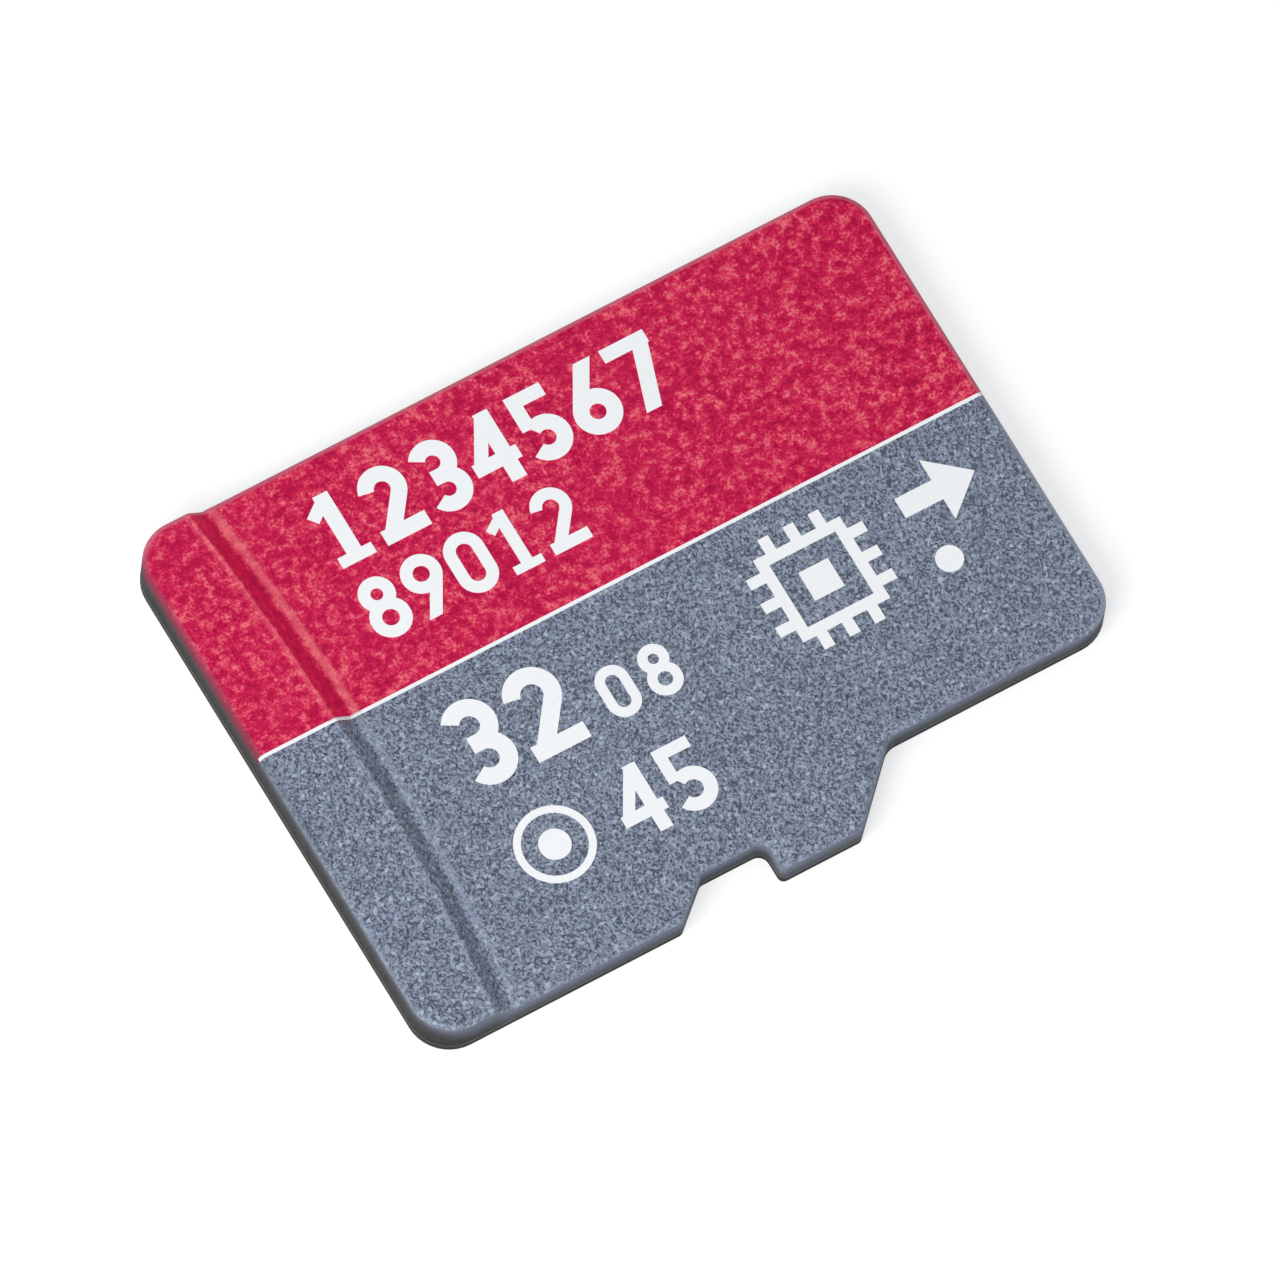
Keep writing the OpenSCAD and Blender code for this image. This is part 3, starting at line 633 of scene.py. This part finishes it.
# %% [markdown]
# ## The grip ridge
# The ridge ends in a slope whose line bows gently across the card. Seen from
# the side, the slope has a rounded crest, a straight face, a hollow foot and a
# faint bead where the tool's edge pressed the moulding up. We list those
# heights once, and every piece that lies on the moulding follows the list. The
# list also marks the crest and the bead, where the inks get a painted highlight.

# %% Side view of the slope
board_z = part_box("moulded_body")[0].z / MM
ridge_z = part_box("moulded_body")[1].z / MM
body_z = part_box("red_ink")[0].z / MM
INK_T = 0.02
SLOPE_L, BOW_R, GRIP_L = 0.36, 45.0, 1.55
CREST_X, CREST_R, FOOT_R, BEAD_W, BEAD_H = 0.05, 0.11, 0.08, 0.22, 0.011
# Values below 0 mark the crest's painted highlight in the inks.
CREST_STEEPNESS_AND_HIGHLIGHT = (-0.7, -0.4, 0.2, 0.7, 1.0)
FOOT_STEPS, BEAD_STEPS = 5, 6
bow_x = GRIP_X + GRIP_L - BOW_R


def slope_stations():
    """(distance from the bow's axis, height, steepness) down the slope.

    The steepness is 1 on the slope's face and 0 on flat ground. It is below 0 on the
    rounded crest and on the bead, to mark where the inks get a painted highlight.
    """
    rise = ridge_z - body_z
    angle = math.atan2(rise, SLOPE_L - CREST_X)
    reach = math.tan(angle / 2)
    crest = BOW_R + CREST_X - CREST_R * reach
    # The -0.4 marks the start of the crest's painted highlight.
    stations = [(crest - CREST_R, ridge_z, 0.0), (crest - CREST_R / 2, ridge_z, -0.4)]
    for k, steep in enumerate(CREST_STEEPNESS_AND_HIGHLIGHT):
        a = angle * k / (len(CREST_STEEPNESS_AND_HIGHLIGHT) - 1)
        stations.append((crest + CREST_R * math.sin(a), ridge_z - CREST_R * (1 - math.cos(a)), steep))
    for k in range(FOOT_STEPS + 1):
        a = angle * (1 - k / FOOT_STEPS)
        stations.append((BOW_R + SLOPE_L + FOOT_R * reach - FOOT_R * math.sin(a),
                         body_z + FOOT_R * (1 - math.cos(a)), 1 - k / FOOT_STEPS))
    foot = stations[-1][0]
    for k in range(1, BEAD_STEPS + 1):
        bulge = math.sin(math.pi * k / BEAD_STEPS)
        # Below 0 on the bead marks its painted highlight, strongest at its top.
        stations.append((foot + BEAD_W * k / BEAD_STEPS, body_z + BEAD_H * bulge, -bulge))
    return stations


STATIONS = slope_stations()
print("slope:", len(STATIONS), "stations from", round(STATIONS[0][1], 3),
      "down to", round(STATIONS[-1][1], 3), "mm")


# %% The rim of the card
class RimPoint:
    """A point of the rim that knows its place at any inset, and the top's height there."""

    def __init__(self, height, point=None, out=None, radius=0.0, side=0, steep=0.0):
        self.height, self.point, self.out, self.steep = height, point, out, steep
        self.radius, self.side = radius, side

    def at(self, inset):
        if self.point:
            return self.point - self.out * inset
        y = SIDE_Y - inset
        return Vector((bow_x + math.sqrt(self.radius ** 2 - y * y), self.side * y))


def make_rim():
    """The whole rim, anticlockwise, with the slope's stations on both long sides."""
    def corner(number, height):
        return [RimPoint(height, point=p, out=out) for p, out in round_corner(number)]
    rim = corner(0, ridge_z)
    rim += [RimPoint(z, radius=r, side=-1, steep=s) for r, z, s in STATIONS]
    for number in range(1, 9):
        rim += corner(number, body_z)
    rim += [RimPoint(z, radius=r, side=1, steep=s) for r, z, s in reversed(STATIONS)]
    return rim + corner(9, ridge_z)


RIM = make_rim()
GRIP_CORNER = len(round_corner(0))
print("rim points:", len(RIM))

# %% [markdown]
# ## One shell for everything that follows the top
# The moulding and the inks share the same top: a rim of rings, the flat ridge,
# the slope in strips, and the flat field in front. One builder makes them all
# from a list of rings, each with its inset and its height. The rings are
# joined by quads, and the two ends are closed by caps. Every point carries how
# far it is below the top, how steep the slope is there, and how near it is to
# the rim, so a finish can change there.

# %% Build a shell from rings
ACROSS = 36
EDGE_REACH = 0.115


def close_cap(bm, ring, inset, level, upwards):
    """Closes a ring of the rim with the ridge, the slope's strips and the flat field."""
    count = len(STATIONS)
    first, last = GRIP_CORNER, len(ring) - GRIP_CORNER - 1
    rows = []
    slope = bm.verts.layers.float["slope"]
    for k, (radius, height, steep) in enumerate(STATIONS):
        row = [ring[first + k]]
        y_end = SIDE_Y - inset
        for j in range(1, ACROSS):
            y = -y_end + 2 * y_end * j / ACROSS
            x = bow_x + math.sqrt(radius ** 2 - y * y)
            row.append(bm.verts.new((x * MM, y * MM, level(height) * MM)))
            row[-1][slope] = steep
        rows.append(row + [ring[last - k]])
    faces = [ring[last:] + ring[:first + 1] + rows[0][1:-1]]
    faces.append(ring[first + count - 1:last - count + 2] + rows[-1][-2:0:-1])
    for near, far in zip(rows, rows[1:]):
        for j in range(ACROSS):
            faces.append([near[j], far[j], far[j + 1], near[j + 1]])
    made = [bm.faces.new(face if upwards else face[::-1]) for face in faces]
    return made


def make_shell(rings, flat_foot):
    """A closed shell: rings of (inset, level) from its lower cap to its upper cap."""
    bm = bmesh.new()
    below_top = bm.verts.layers.float.new("below_top")
    # Below 0, the slope value marks where the inks get a painted highlight.
    slope = bm.verts.layers.float.new("slope")
    edge = bm.verts.layers.float.new("edge")
    loops = []
    for inset, level in rings:
        loop = []
        for point in RIM:
            x, y = point.at(inset)
            z = level(point.height)
            loop.append(bm.verts.new((x * MM, y * MM, z * MM)))
            loop[-1][below_top] = point.height - z
            loop[-1][slope] = point.steep
            # How near the rim a point is; the inks use it for a thin-ink veil, painted shade and painted
            # highlight on the rims.
            loop[-1][edge] = 1 - inset / EDGE_REACH
        loops.append(loop)
    for low, high in zip(loops, loops[1:]):
        for k in range(len(RIM)):
            n = (k + 1) % len(RIM)
            bm.faces.new((low[k], low[n], high[n], high[k])).smooth = True
    if flat_foot:
        bm.faces.new(loops[0][::-1])
    else:
        close_cap(bm, loops[0], rings[0][0], rings[0][1], False)
    for face in close_cap(bm, loops[-1], rings[-1][0], rings[-1][1], True):
        face.smooth = len(face.verts) == 4
    return bm


def to_piece(bm, name, finish, slot, *replaced):
    """Turns a bmesh into a finished piece that rides on the card."""
    mesh = bpy.data.meshes.new(name)
    bm.to_mesh(mesh)
    bm.free()
    mesh.materials.append(finish)
    piece = bpy.data.objects.new(name, mesh)
    scene.collection.objects.link(piece)
    settle(piece, slot, *replaced)
    return piece


def settle(piece, slot, *replaced):
    """Says what the piece rides on and what it stands for. The slot is not used."""
    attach(piece, "root")
    if replaced:
        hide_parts(*replaced)
    solid = bmesh.new()
    solid.from_mesh(piece.data)
    loose = sum(1 for edge in solid.edges if len(edge.link_faces) != 2)
    print(f"{piece.name}: {len(piece.data.polygons)} faces, {loose} open edges,",
          f"volume {solid.calc_volume() / MM ** 3:.3f} mm3")
    solid.free()


print("shell builder ready")

# %% [markdown]
# ## The moulded body
# The mould leaves a small radius along the upper edge, which follows the
# height of the ridge and the slope. The dies, the chips and the wires are
# sealed in it, so the same room is cut out of its board side with a boolean.

# %% Shape the moulded body
EDGE_R = 0.10
EDGE_STEPS = 6


def edge_ring(k):
    """One ring of the rounded upper edge, from the wall at 0 to the top at EDGE_STEPS."""
    angle = math.pi / 2 * k / EDGE_STEPS
    inset = EDGE_R * (1 - math.cos(angle))
    drop = EDGE_R * (1 - math.sin(angle))
    return inset, lambda h: h - drop


moulding_mesh = make_shell([(0.0, lambda h: board_z)] + [edge_ring(k) for k in range(EDGE_STEPS + 1)], True)
print("moulding without rooms:", len(moulding_mesh.faces), "faces")

# %% Cut the rooms and finish the moulded body
ROOM_FLOOR = (board_z - 0.2) * MM
WIRE_ROOM = 0.03 * MM
DIES = [["lower_memory_die"], ["upper_die_film", "upper_memory_die"], ["controller_die"]]
WIRES = ["memory_bond_wires", "controller_bond_wires"]
CHIPS = ["capacitor_1", "capacitor_2", "capacitor_3", "resistor"]


def room_for(nodes, spare=0.0):
    """The corners of the room that some CAD nodes need, open on the board side."""
    boxes = [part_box(n) for n in nodes]
    low = [min(b[0][k] for b in boxes) - spare for k in range(3)]
    high = [max(b[1][k] for b in boxes) + spare for k in range(3)]
    return (low[0], low[1], ROOM_FLOOR), high


def room_for_chip(name):
    """The corners of the room that a chip and its two metal ends need."""
    low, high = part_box(name)
    ends_low, ends_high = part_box("capacitor_ends")
    return (ends_low.x, low.y, ROOM_FLOOR), (ends_high.x, high.y, high.z)


def block_between(low, high):
    """A block between two corners."""
    block = bmesh.new()
    for v in bmesh.ops.create_cube(block, size=1.0)["verts"]:
        v.co = Vector([low[k] if v.co[k] < 0 else high[k] for k in range(3)])
    return block


def cut_with(piece, block):
    """Cuts one block out of a piece."""
    tool = bpy.data.objects.new("block", bpy.data.meshes.new("block"))
    block.to_mesh(tool.data)
    block.free()
    scene.collection.objects.link(tool)
    cut = piece.modifiers.new("cut", "BOOLEAN")
    cut.operation = "DIFFERENCE"
    cut.solver = "EXACT"
    cut.object = tool
    graph = bpy.context.evaluated_depsgraph_get()
    piece.data = bpy.data.meshes.new_from_object(piece.evaluated_get(graph))
    piece.modifiers.clear()
    bpy.data.objects.remove(tool)


def cut_rooms(bm):
    """Cuts the room for everything that the moulding seals in."""
    piece = bpy.data.objects.new("uncut", bpy.data.meshes.new("uncut"))
    bm.to_mesh(piece.data)
    bm.free()
    scene.collection.objects.link(piece)
    rooms = [room_for(nodes) for nodes in DIES]
    rooms += [room_for([node], WIRE_ROOM) for node in WIRES]
    rooms += [room_for_chip(name) for name in CHIPS]
    for low, high in rooms:
        cut_with(piece, block_between(low, high))
    cut = bmesh.new()
    cut.from_mesh(piece.data)
    bpy.data.objects.remove(piece)
    return cut


to_piece(cut_rooms(moulding_mesh), "moulded_shell", black_moulding, "black_moulding", "moulded_body")

# %% [markdown]
# ## The inks
# Screen ink is a skin two hundredths of a millimetre thick. It thins out as it
# goes over the rounded edge and ends where the wall begins. Each ink starts as
# the same closed skin over the whole top, and is cut at the sides of the white
# line, so red, white and grey fit each other exactly. A ring of the skin is
# its inset and the share of the ink's thickness that it has there.

# %% Make the three inks
INK_RINGS = [(0.0, 0.0), (0.008, 0.35), (0.028, 0.6), (0.06, 0.8), (EDGE_R, 0.97), (EDGE_REACH, 1.0)]
SPLIT = (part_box("grey_ink")[1].y / MM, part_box("red_ink")[0].y / MM)


def on_moulding(inset, share):
    """A ring that lies on the rounded edge, lifted by a share of the ink."""
    drop = 0.0
    if inset < EDGE_R:
        drop = EDGE_R - math.sqrt(EDGE_R ** 2 - (EDGE_R - inset) ** 2)
    return inset, lambda h: h - drop + share * INK_T


def make_ink(name, finish, slot, node, low_y, high_y):
    """The part of the skin between two lines across the card."""
    under = [on_moulding(inset, 0.0) for inset, _ in reversed(INK_RINGS)]
    over = [on_moulding(inset, share) for inset, share in INK_RINGS[1:]]
    bm = make_shell(under + over, False)
    for y, sign in ((low_y, -1), (high_y, 1)):
        if y is None:
            continue
        parts = bm.verts[:] + bm.edges[:] + bm.faces[:]
        cut = bmesh.ops.bisect_plane(bm, geom=parts, plane_co=(0, y * MM, 0), plane_no=(0, sign, 0),
                                     clear_outer=True, dist=1e-9)
        edges = [e for e in cut["geom_cut"] if isinstance(e, bmesh.types.BMEdge)]
        bmesh.ops.contextual_create(bm, geom=edges)
    bmesh.ops.recalc_face_normals(bm, faces=bm.faces[:])
    return to_piece(bm, name, finish, slot, node)


make_ink("red_ink_skin", red_ink, "red_ink", "red_ink", SPLIT[1], None)
make_ink("white_line_skin", white_ink, "white_ink", "white_line", SPLIT[0], SPLIT[1])
make_ink("grey_ink_skin", grey_ink, "grey_ink", "grey_ink", None, SPLIT[0])

# %% [markdown]
# ## Patterns that repeat
# Bond wires and the copper under the resist repeat or follow a path, so
# Geometry Nodes make them. A tree takes its sizes as named inputs, so one tree
# serves every row. Each run is on a scratch object, whose plain mesh is kept.

# %% A Geometry Nodes tree
class Pattern(NodeMaker):
    """A Geometry Nodes tree with named inputs that is grown into a plain mesh."""

    def __init__(self, name, **sizes):
        self.tree = bpy.data.node_groups.new(name, "GeometryNodeTree")
        face = self.tree.interface
        face.new_socket("Geometry", in_out="INPUT", socket_type="NodeSocketGeometry")
        face.new_socket("Geometry", in_out="OUTPUT", socket_type="NodeSocketGeometry")
        self.keys = {}
        for label, value in sizes.items():
            kind = "NodeSocketInt" if isinstance(value, int) else "NodeSocketFloat"
            socket = face.new_socket(label, in_out="INPUT", socket_type=kind)
            socket.default_value = value
            self.keys[label] = socket.identifier
        self.entry = self.tree.nodes.new("NodeGroupInput")

    def given(self, label):
        """The signal of a named input."""
        return Signal(self, self.entry.outputs[label])

    def spot(self, x, y, z):
        """Three signals or numbers as one vector."""
        return self.node("ShaderNodeCombineXYZ", {0: x, 1: y, 2: z})

    def end(self, shape, finish):
        """Ends the tree with smooth, plain geometry in its finish."""
        plain = self.node("GeometryNodeRealizeInstances", {"Geometry": shape})
        smooth = self.node("GeometryNodeSetShadeSmooth", {"Geometry": plain, "Shade Smooth": True})
        dressed = self.node("GeometryNodeSetMaterial", {"Geometry": smooth, "Material": finish})
        leave = self.tree.nodes.new("NodeGroupOutput")
        self.tree.links.new(dressed.socket, leave.inputs["Geometry"])

    def grow(self, start=None, **sizes):
        """Runs the tree on a mesh and returns what it made as a plain mesh."""
        seed = bpy.data.objects.new("seed", start or bpy.data.meshes.new("seed"))
        scene.collection.objects.link(seed)
        modifier = seed.modifiers.new("pattern", "NODES")
        modifier.node_group = self.tree
        for label, value in sizes.items():
            modifier[self.keys[label]] = value
        graph = bpy.context.evaluated_depsgraph_get()
        grown = bpy.data.meshes.new_from_object(seed.evaluated_get(graph))
        bpy.data.objects.remove(seed)
        return grown


def joined(meshes):
    """One bmesh of several meshes."""
    bm = bmesh.new()
    for mesh in meshes:
        bm.from_mesh(mesh)
    return bm


print("pattern class ready")

# %% [markdown]
# ## The bond wires
# A bonding machine melts a ball, presses it on the die's pad, pulls the wire
# up, and swings it over to the next pad, where it is stitched down. So the
# wire leaves the ball nearly upright and comes down in a long slope. A Bezier
# segment has that shape when its first handle stands above the ball.

# %% Make the bond wires
WIRE_D, BALL_D, WIRE_RISE = 0.02, 0.05, 0.17
BALL_SQUASH, STITCH_SHAPE = (1.0, 1.0, 0.5), (1.2, 0.8, 0.3)


def make_wire_row():
    """One row of wires between two lines of pads."""
    p = Pattern("wire_row", count=8, pitch=0.001, first_y=0.0, from_x=0.0, from_z=0.0, to_x=0.0, to_z=0.0,
                wire_d=WIRE_D * MM, ball_d=BALL_D * MM, rise=WIRE_RISE * MM)
    from_x, from_z, to_x, to_z = (p.given(n) for n in ("from_x", "from_z", "to_x", "to_z"))
    ball_d, rise = p.given("ball_d"), p.given("rise")
    reach = to_x - from_x
    lift = ball_d * 0.25
    arc = p.node("GeometryNodeCurvePrimitiveBezierSegment", {
        "Resolution": 12, "Start": p.spot(from_x, 0.0, from_z + lift),
        "Start Handle": p.spot(from_x + reach * 0.05, 0.0, from_z + rise),
        "End Handle": p.spot(to_x - reach * 0.3, 0.0, to_z + rise * 0.8),
        "End": p.spot(to_x, 0.0, to_z + lift * 0.6)}, mode="POSITION")
    section = p.node("GeometryNodeCurvePrimitiveCircle", {
        "Resolution": 8, "Radius": p.given("wire_d") * 0.5})
    wire = p.node("GeometryNodeCurveToMesh", {"Curve": arc, "Profile Curve": section, "Fill Caps": True})
    sphere = p.node("GeometryNodeMeshUVSphere", {"Segments": 12, "Rings": 8, "Radius": ball_d * 0.5})
    ball = p.node("GeometryNodeTransform", {
        "Geometry": sphere, "Translation": p.spot(from_x, 0.0, from_z + lift), "Scale": BALL_SQUASH})
    stitch = p.node("GeometryNodeTransform", {
        "Geometry": sphere, "Translation": p.spot(to_x, 0.0, to_z + lift * 0.6), "Scale": STITCH_SHAPE})
    whole = p.node("GeometryNodeJoinGeometry", {"Geometry": [wire, ball, stitch]})
    line = p.node("GeometryNodeMeshLine", {
        "Count": p.given("count"), "Start Location": p.spot(0.0, p.given("first_y"), 0.0),
        "Offset": p.spot(0.0, p.given("pitch"), 0.0)}, mode="OFFSET")
    p.end(p.node("GeometryNodeInstanceOnPoints", {"Points": line, "Instance": whole}), gold)
    return p


wire_row = make_wire_row()
print("wire tree has the inputs", ", ".join(wire_row.keys))

# %% String the two sets of wires
UPPER_DIE, LOWER_DIE, MEMORY_FINGERS = (1.27, 0.315), (1.57, 0.245), (1.97, 0.175)
CONTROLLER_BACK, BACK_FINGERS = (2.995, 0.265), (2.595, 0.175)
CONTROLLER_FRONT, FRONT_FINGERS = (5.035, 0.265), (5.435, 0.175)


def rows_of_wires(name, node, count, pitch, middle_y, *hops):
    """Rows of wires as one piece. A hop is two places, each (x, z) in millimetres."""
    rows = [wire_row.grow(count=count, pitch=pitch * MM, first_y=(middle_y - pitch * (count - 1) / 2) * MM,
                          from_x=start[0] * MM, from_z=start[1] * MM, to_x=end[0] * MM, to_z=end[1] * MM)
            for start, end in hops]
    to_piece(joined(rows), name, gold, "gold", node)


rows_of_wires("memory_wires", "memory_bond_wires", 14, 0.62, 0.35,
              (UPPER_DIE, LOWER_DIE), (LOWER_DIE, MEMORY_FINGERS))
rows_of_wires("controller_wires", "controller_bond_wires", 8, 0.42, 0.55,
              (CONTROLLER_BACK, BACK_FINGERS), (CONTROLLER_FRONT, FRONT_FINGERS))

# %% [markdown]
# ## The contact side
# The resist is a thin coat, so the copper under it shows as low ridges: tracks
# from the pads, round lands where a via goes down, and covered test pads. The
# ridges are only three microns high, but gloss makes them plain. The resist's
# lower face is raised by that much, so the ridges reach as low as it did. The
# tracks are lines with corners that the tree rounds and gives a flat section.

# %% Raise the resist's lower face
RIDGE_RISE = 0.003
SAME_PLACE = 1e-8

resist_copy = bmesh.new()
resist_copy.from_mesh(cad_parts["contact_side_resist"].data)
bmesh.ops.remove_doubles(resist_copy, verts=resist_copy.verts, dist=SAME_PLACE)
for v in resist_copy.verts:
    if v.co.z < SAME_PLACE:
        v.co.z = RIDGE_RISE * MM
to_piece(resist_copy, "resist_coat", black_resist, "black_resist", "contact_side_resist")

# %% Lay out the tracks
PAD_COUNT, MIDDLE_Y = 8, 0.55
PAD_PITCH, BUS_PITCH, TEST_PITCH = 1.1, 0.4, 0.95
PAD_BACK_X, PAD_FRONT_X, POWER_FRONT_X, TRACK_END_X = 3.45, 6.46, 6.76, 7.4
POWER_PADS = (3, 5)
FAN_X, RETURN_X, TEST_X = 2.9, -3.0, (-3.7, -5.4)
VIA_X, VIA_STAGGER, RETURN_VIA_X = -0.15, 0.45, -0.95


def rows_of(pitch):
    """One row for each pad, side by side about the pads' middle."""
    return [MIDDLE_Y + pitch * (k - (PAD_COUNT - 1) / 2) for k in range(PAD_COUNT)]


def track_lines():
    """Corner points of the tracks in millimetres, and whether lands start and end them."""
    fans, returns, links = [], [], []
    rows = zip(rows_of(PAD_PITCH), rows_of(BUS_PITCH), rows_of(TEST_PITCH))
    for k, (pad_y, bus_y, test_y) in enumerate(rows):
        turn_x = FAN_X - abs(pad_y - bus_y)
        via_x = VIA_X + VIA_STAGGER * (k % 2)
        fans.append([(PAD_BACK_X, pad_y), (FAN_X, pad_y), (turn_x, bus_y), (via_x, bus_y)])
        back_x = RETURN_X + abs(test_y - bus_y)
        returns.append([(RETURN_VIA_X, bus_y), (back_x, bus_y), (RETURN_X, test_y), (TEST_X[0], test_y)])
        links.append([(TEST_X[0], test_y), (TEST_X[1], test_y)])
        front_x = POWER_FRONT_X if k in POWER_PADS else PAD_FRONT_X
        links.append([(front_x, pad_y), (TRACK_END_X, pad_y)])
    return (fans, 0, 1), (returns, 1, 0), (links, 0, 0)


print("track lines:", sum(len(lines) for lines, _, _ in track_lines()))

# %% Grow the tracks under the resist
TRACK_W, LAND_D, BEND_R = 0.12, 0.34, 0.22


def make_tracks():
    """Tracks and via lands as flat ridges along lines."""
    p = Pattern("tracks", width=TRACK_W * MM, height=2 * RIDGE_RISE * MM, bend=BEND_R * MM,
                land=LAND_D * MM, start_land=1, end_land=1)
    width, height, land = p.given("width"), p.given("height"), p.given("land")
    lines = p.node("GeometryNodeMeshToCurve", {"Mesh": p.given("Geometry")})
    bent = p.node("GeometryNodeFilletCurve", {
        "Curve": lines, "Count": 5, "Radius": p.given("bend"), "Limit Radius": True}, mode="POLY")
    level = p.node("GeometryNodeSetCurveNormal", {"Curve": bent}, mode="Z_UP")
    ring = p.node("GeometryNodeCurvePrimitiveCircle", {"Resolution": 12, "Radius": width * 0.5})
    section = p.node("GeometryNodeTransform", {"Geometry": ring, "Scale": p.spot(1.0, height / width, 1.0)})
    ridge = p.node("GeometryNodeCurveToMesh", {"Curve": level, "Profile Curve": section, "Fill Caps": True})
    sphere = p.node("GeometryNodeMeshUVSphere", {"Segments": 20, "Rings": 8, "Radius": land * 0.5})
    dome = p.node("GeometryNodeTransform", {"Geometry": sphere, "Scale": p.spot(1.0, 1.0, height / land)})
    ends = p.node("GeometryNodeCurveEndpointSelection", {
        "Start Size": p.given("start_land"), "End Size": p.given("end_land")})
    lands = p.node("GeometryNodeInstanceOnPoints", {"Points": lines, "Selection": ends, "Instance": dome})
    p.end(p.node("GeometryNodeJoinGeometry", {"Geometry": [ridge, lands]}), covered_copper)
    return p


def route_of(lines):
    """Lines as a mesh of edges, halfway up the ridges."""
    route = bpy.data.meshes.new("route")
    points, steps = [], []
    for line in lines:
        steps += [(len(points) + k, len(points) + k + 1) for k in range(len(line) - 1)]
        points += [(x * MM, y * MM, RIDGE_RISE * MM) for x, y in line]
    route.from_pydata(points, steps, [])
    return route


track_tree = make_tracks()
grown = [track_tree.grow(route_of(lines), start_land=first, end_land=last)
         for lines, first, last in track_lines()]
tracks = to_piece(joined(grown), "tracks", covered_copper, "black_resist")
print("tracks reach from", round(min(v.co.z for v in tracks.data.vertices) / MM, 4),
      "to", round(max(v.co.z for v in tracks.data.vertices) / MM, 4), "mm")


# %% Grow the covered test pads
TEST_PAD_D = 0.62


def make_test_pads():
    """A grid of flat discs."""
    p = Pattern("test_pads", across=TEST_PAD_D * MM, height=2 * RIDGE_RISE * MM, rows=PAD_COUNT,
                pitch=TEST_PITCH * MM, apart=(TEST_X[0] - TEST_X[1]) * MM,
                middle_x=(TEST_X[0] + TEST_X[1]) / 2 * MM, middle_y=MIDDLE_Y * MM)
    height = p.given("height")
    disc = p.node("GeometryNodeMeshCylinder", {
        "Vertices": 32, "Radius": p.given("across") * 0.5, "Depth": height}, fill_type="NGON")
    grid = p.node("GeometryNodeMeshGrid", {
        "Size X": p.given("apart"), "Size Y": p.given("pitch") * (p.given("rows") - 1),
        "Vertices X": 2, "Vertices Y": p.given("rows")}, out="Mesh")
    placed = p.node("GeometryNodeTransform", {
        "Geometry": grid, "Translation": p.spot(p.given("middle_x"), p.given("middle_y"), height * 0.5)})
    p.end(p.node("GeometryNodeInstanceOnPoints", {"Points": placed, "Instance": disc}), covered_copper)
    return p


test_pads = joined([make_test_pads().grow()])
for face in test_pads.faces:
    face.smooth = len(face.verts) == 4
for edge in test_pads.edges:
    edge.smooth = all(len(face.verts) == 4 for face in edge.link_faces)
to_piece(test_pads, "test_pads", covered_copper, "black_resist")

# %% [markdown]
# ## Finishes on the CAD's own pieces
# The print, the pads, the board and the sealed pieces have their right shape
# already, so they keep their meshes and only get their finish.

# %% Give the CAD pieces their finish
FINISH_OF_SLOT = {
    "black_moulding": black_moulding, "red_ink": red_ink, "grey_ink": grey_ink, "white_ink": white_ink,
    "gold": gold, "black_resist": black_resist, "green_resist": green_resist, "laminate": laminate,
    "silicon": silicon, "die_adhesive": die_adhesive, "copper": copper, "tin": tin,
    "capacitor_ceramic": capacitor_ceramic, "resistor_ceramic": resistor_ceramic,
}
for name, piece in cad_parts.items():
    for index, old in enumerate(piece.data.materials):
        piece.data.materials[index] = FINISH_OF_SLOT[old.name.split(".")[0]]
print("dressed", len(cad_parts), "CAD pieces with", len(FINISH_OF_SLOT), "finishes")
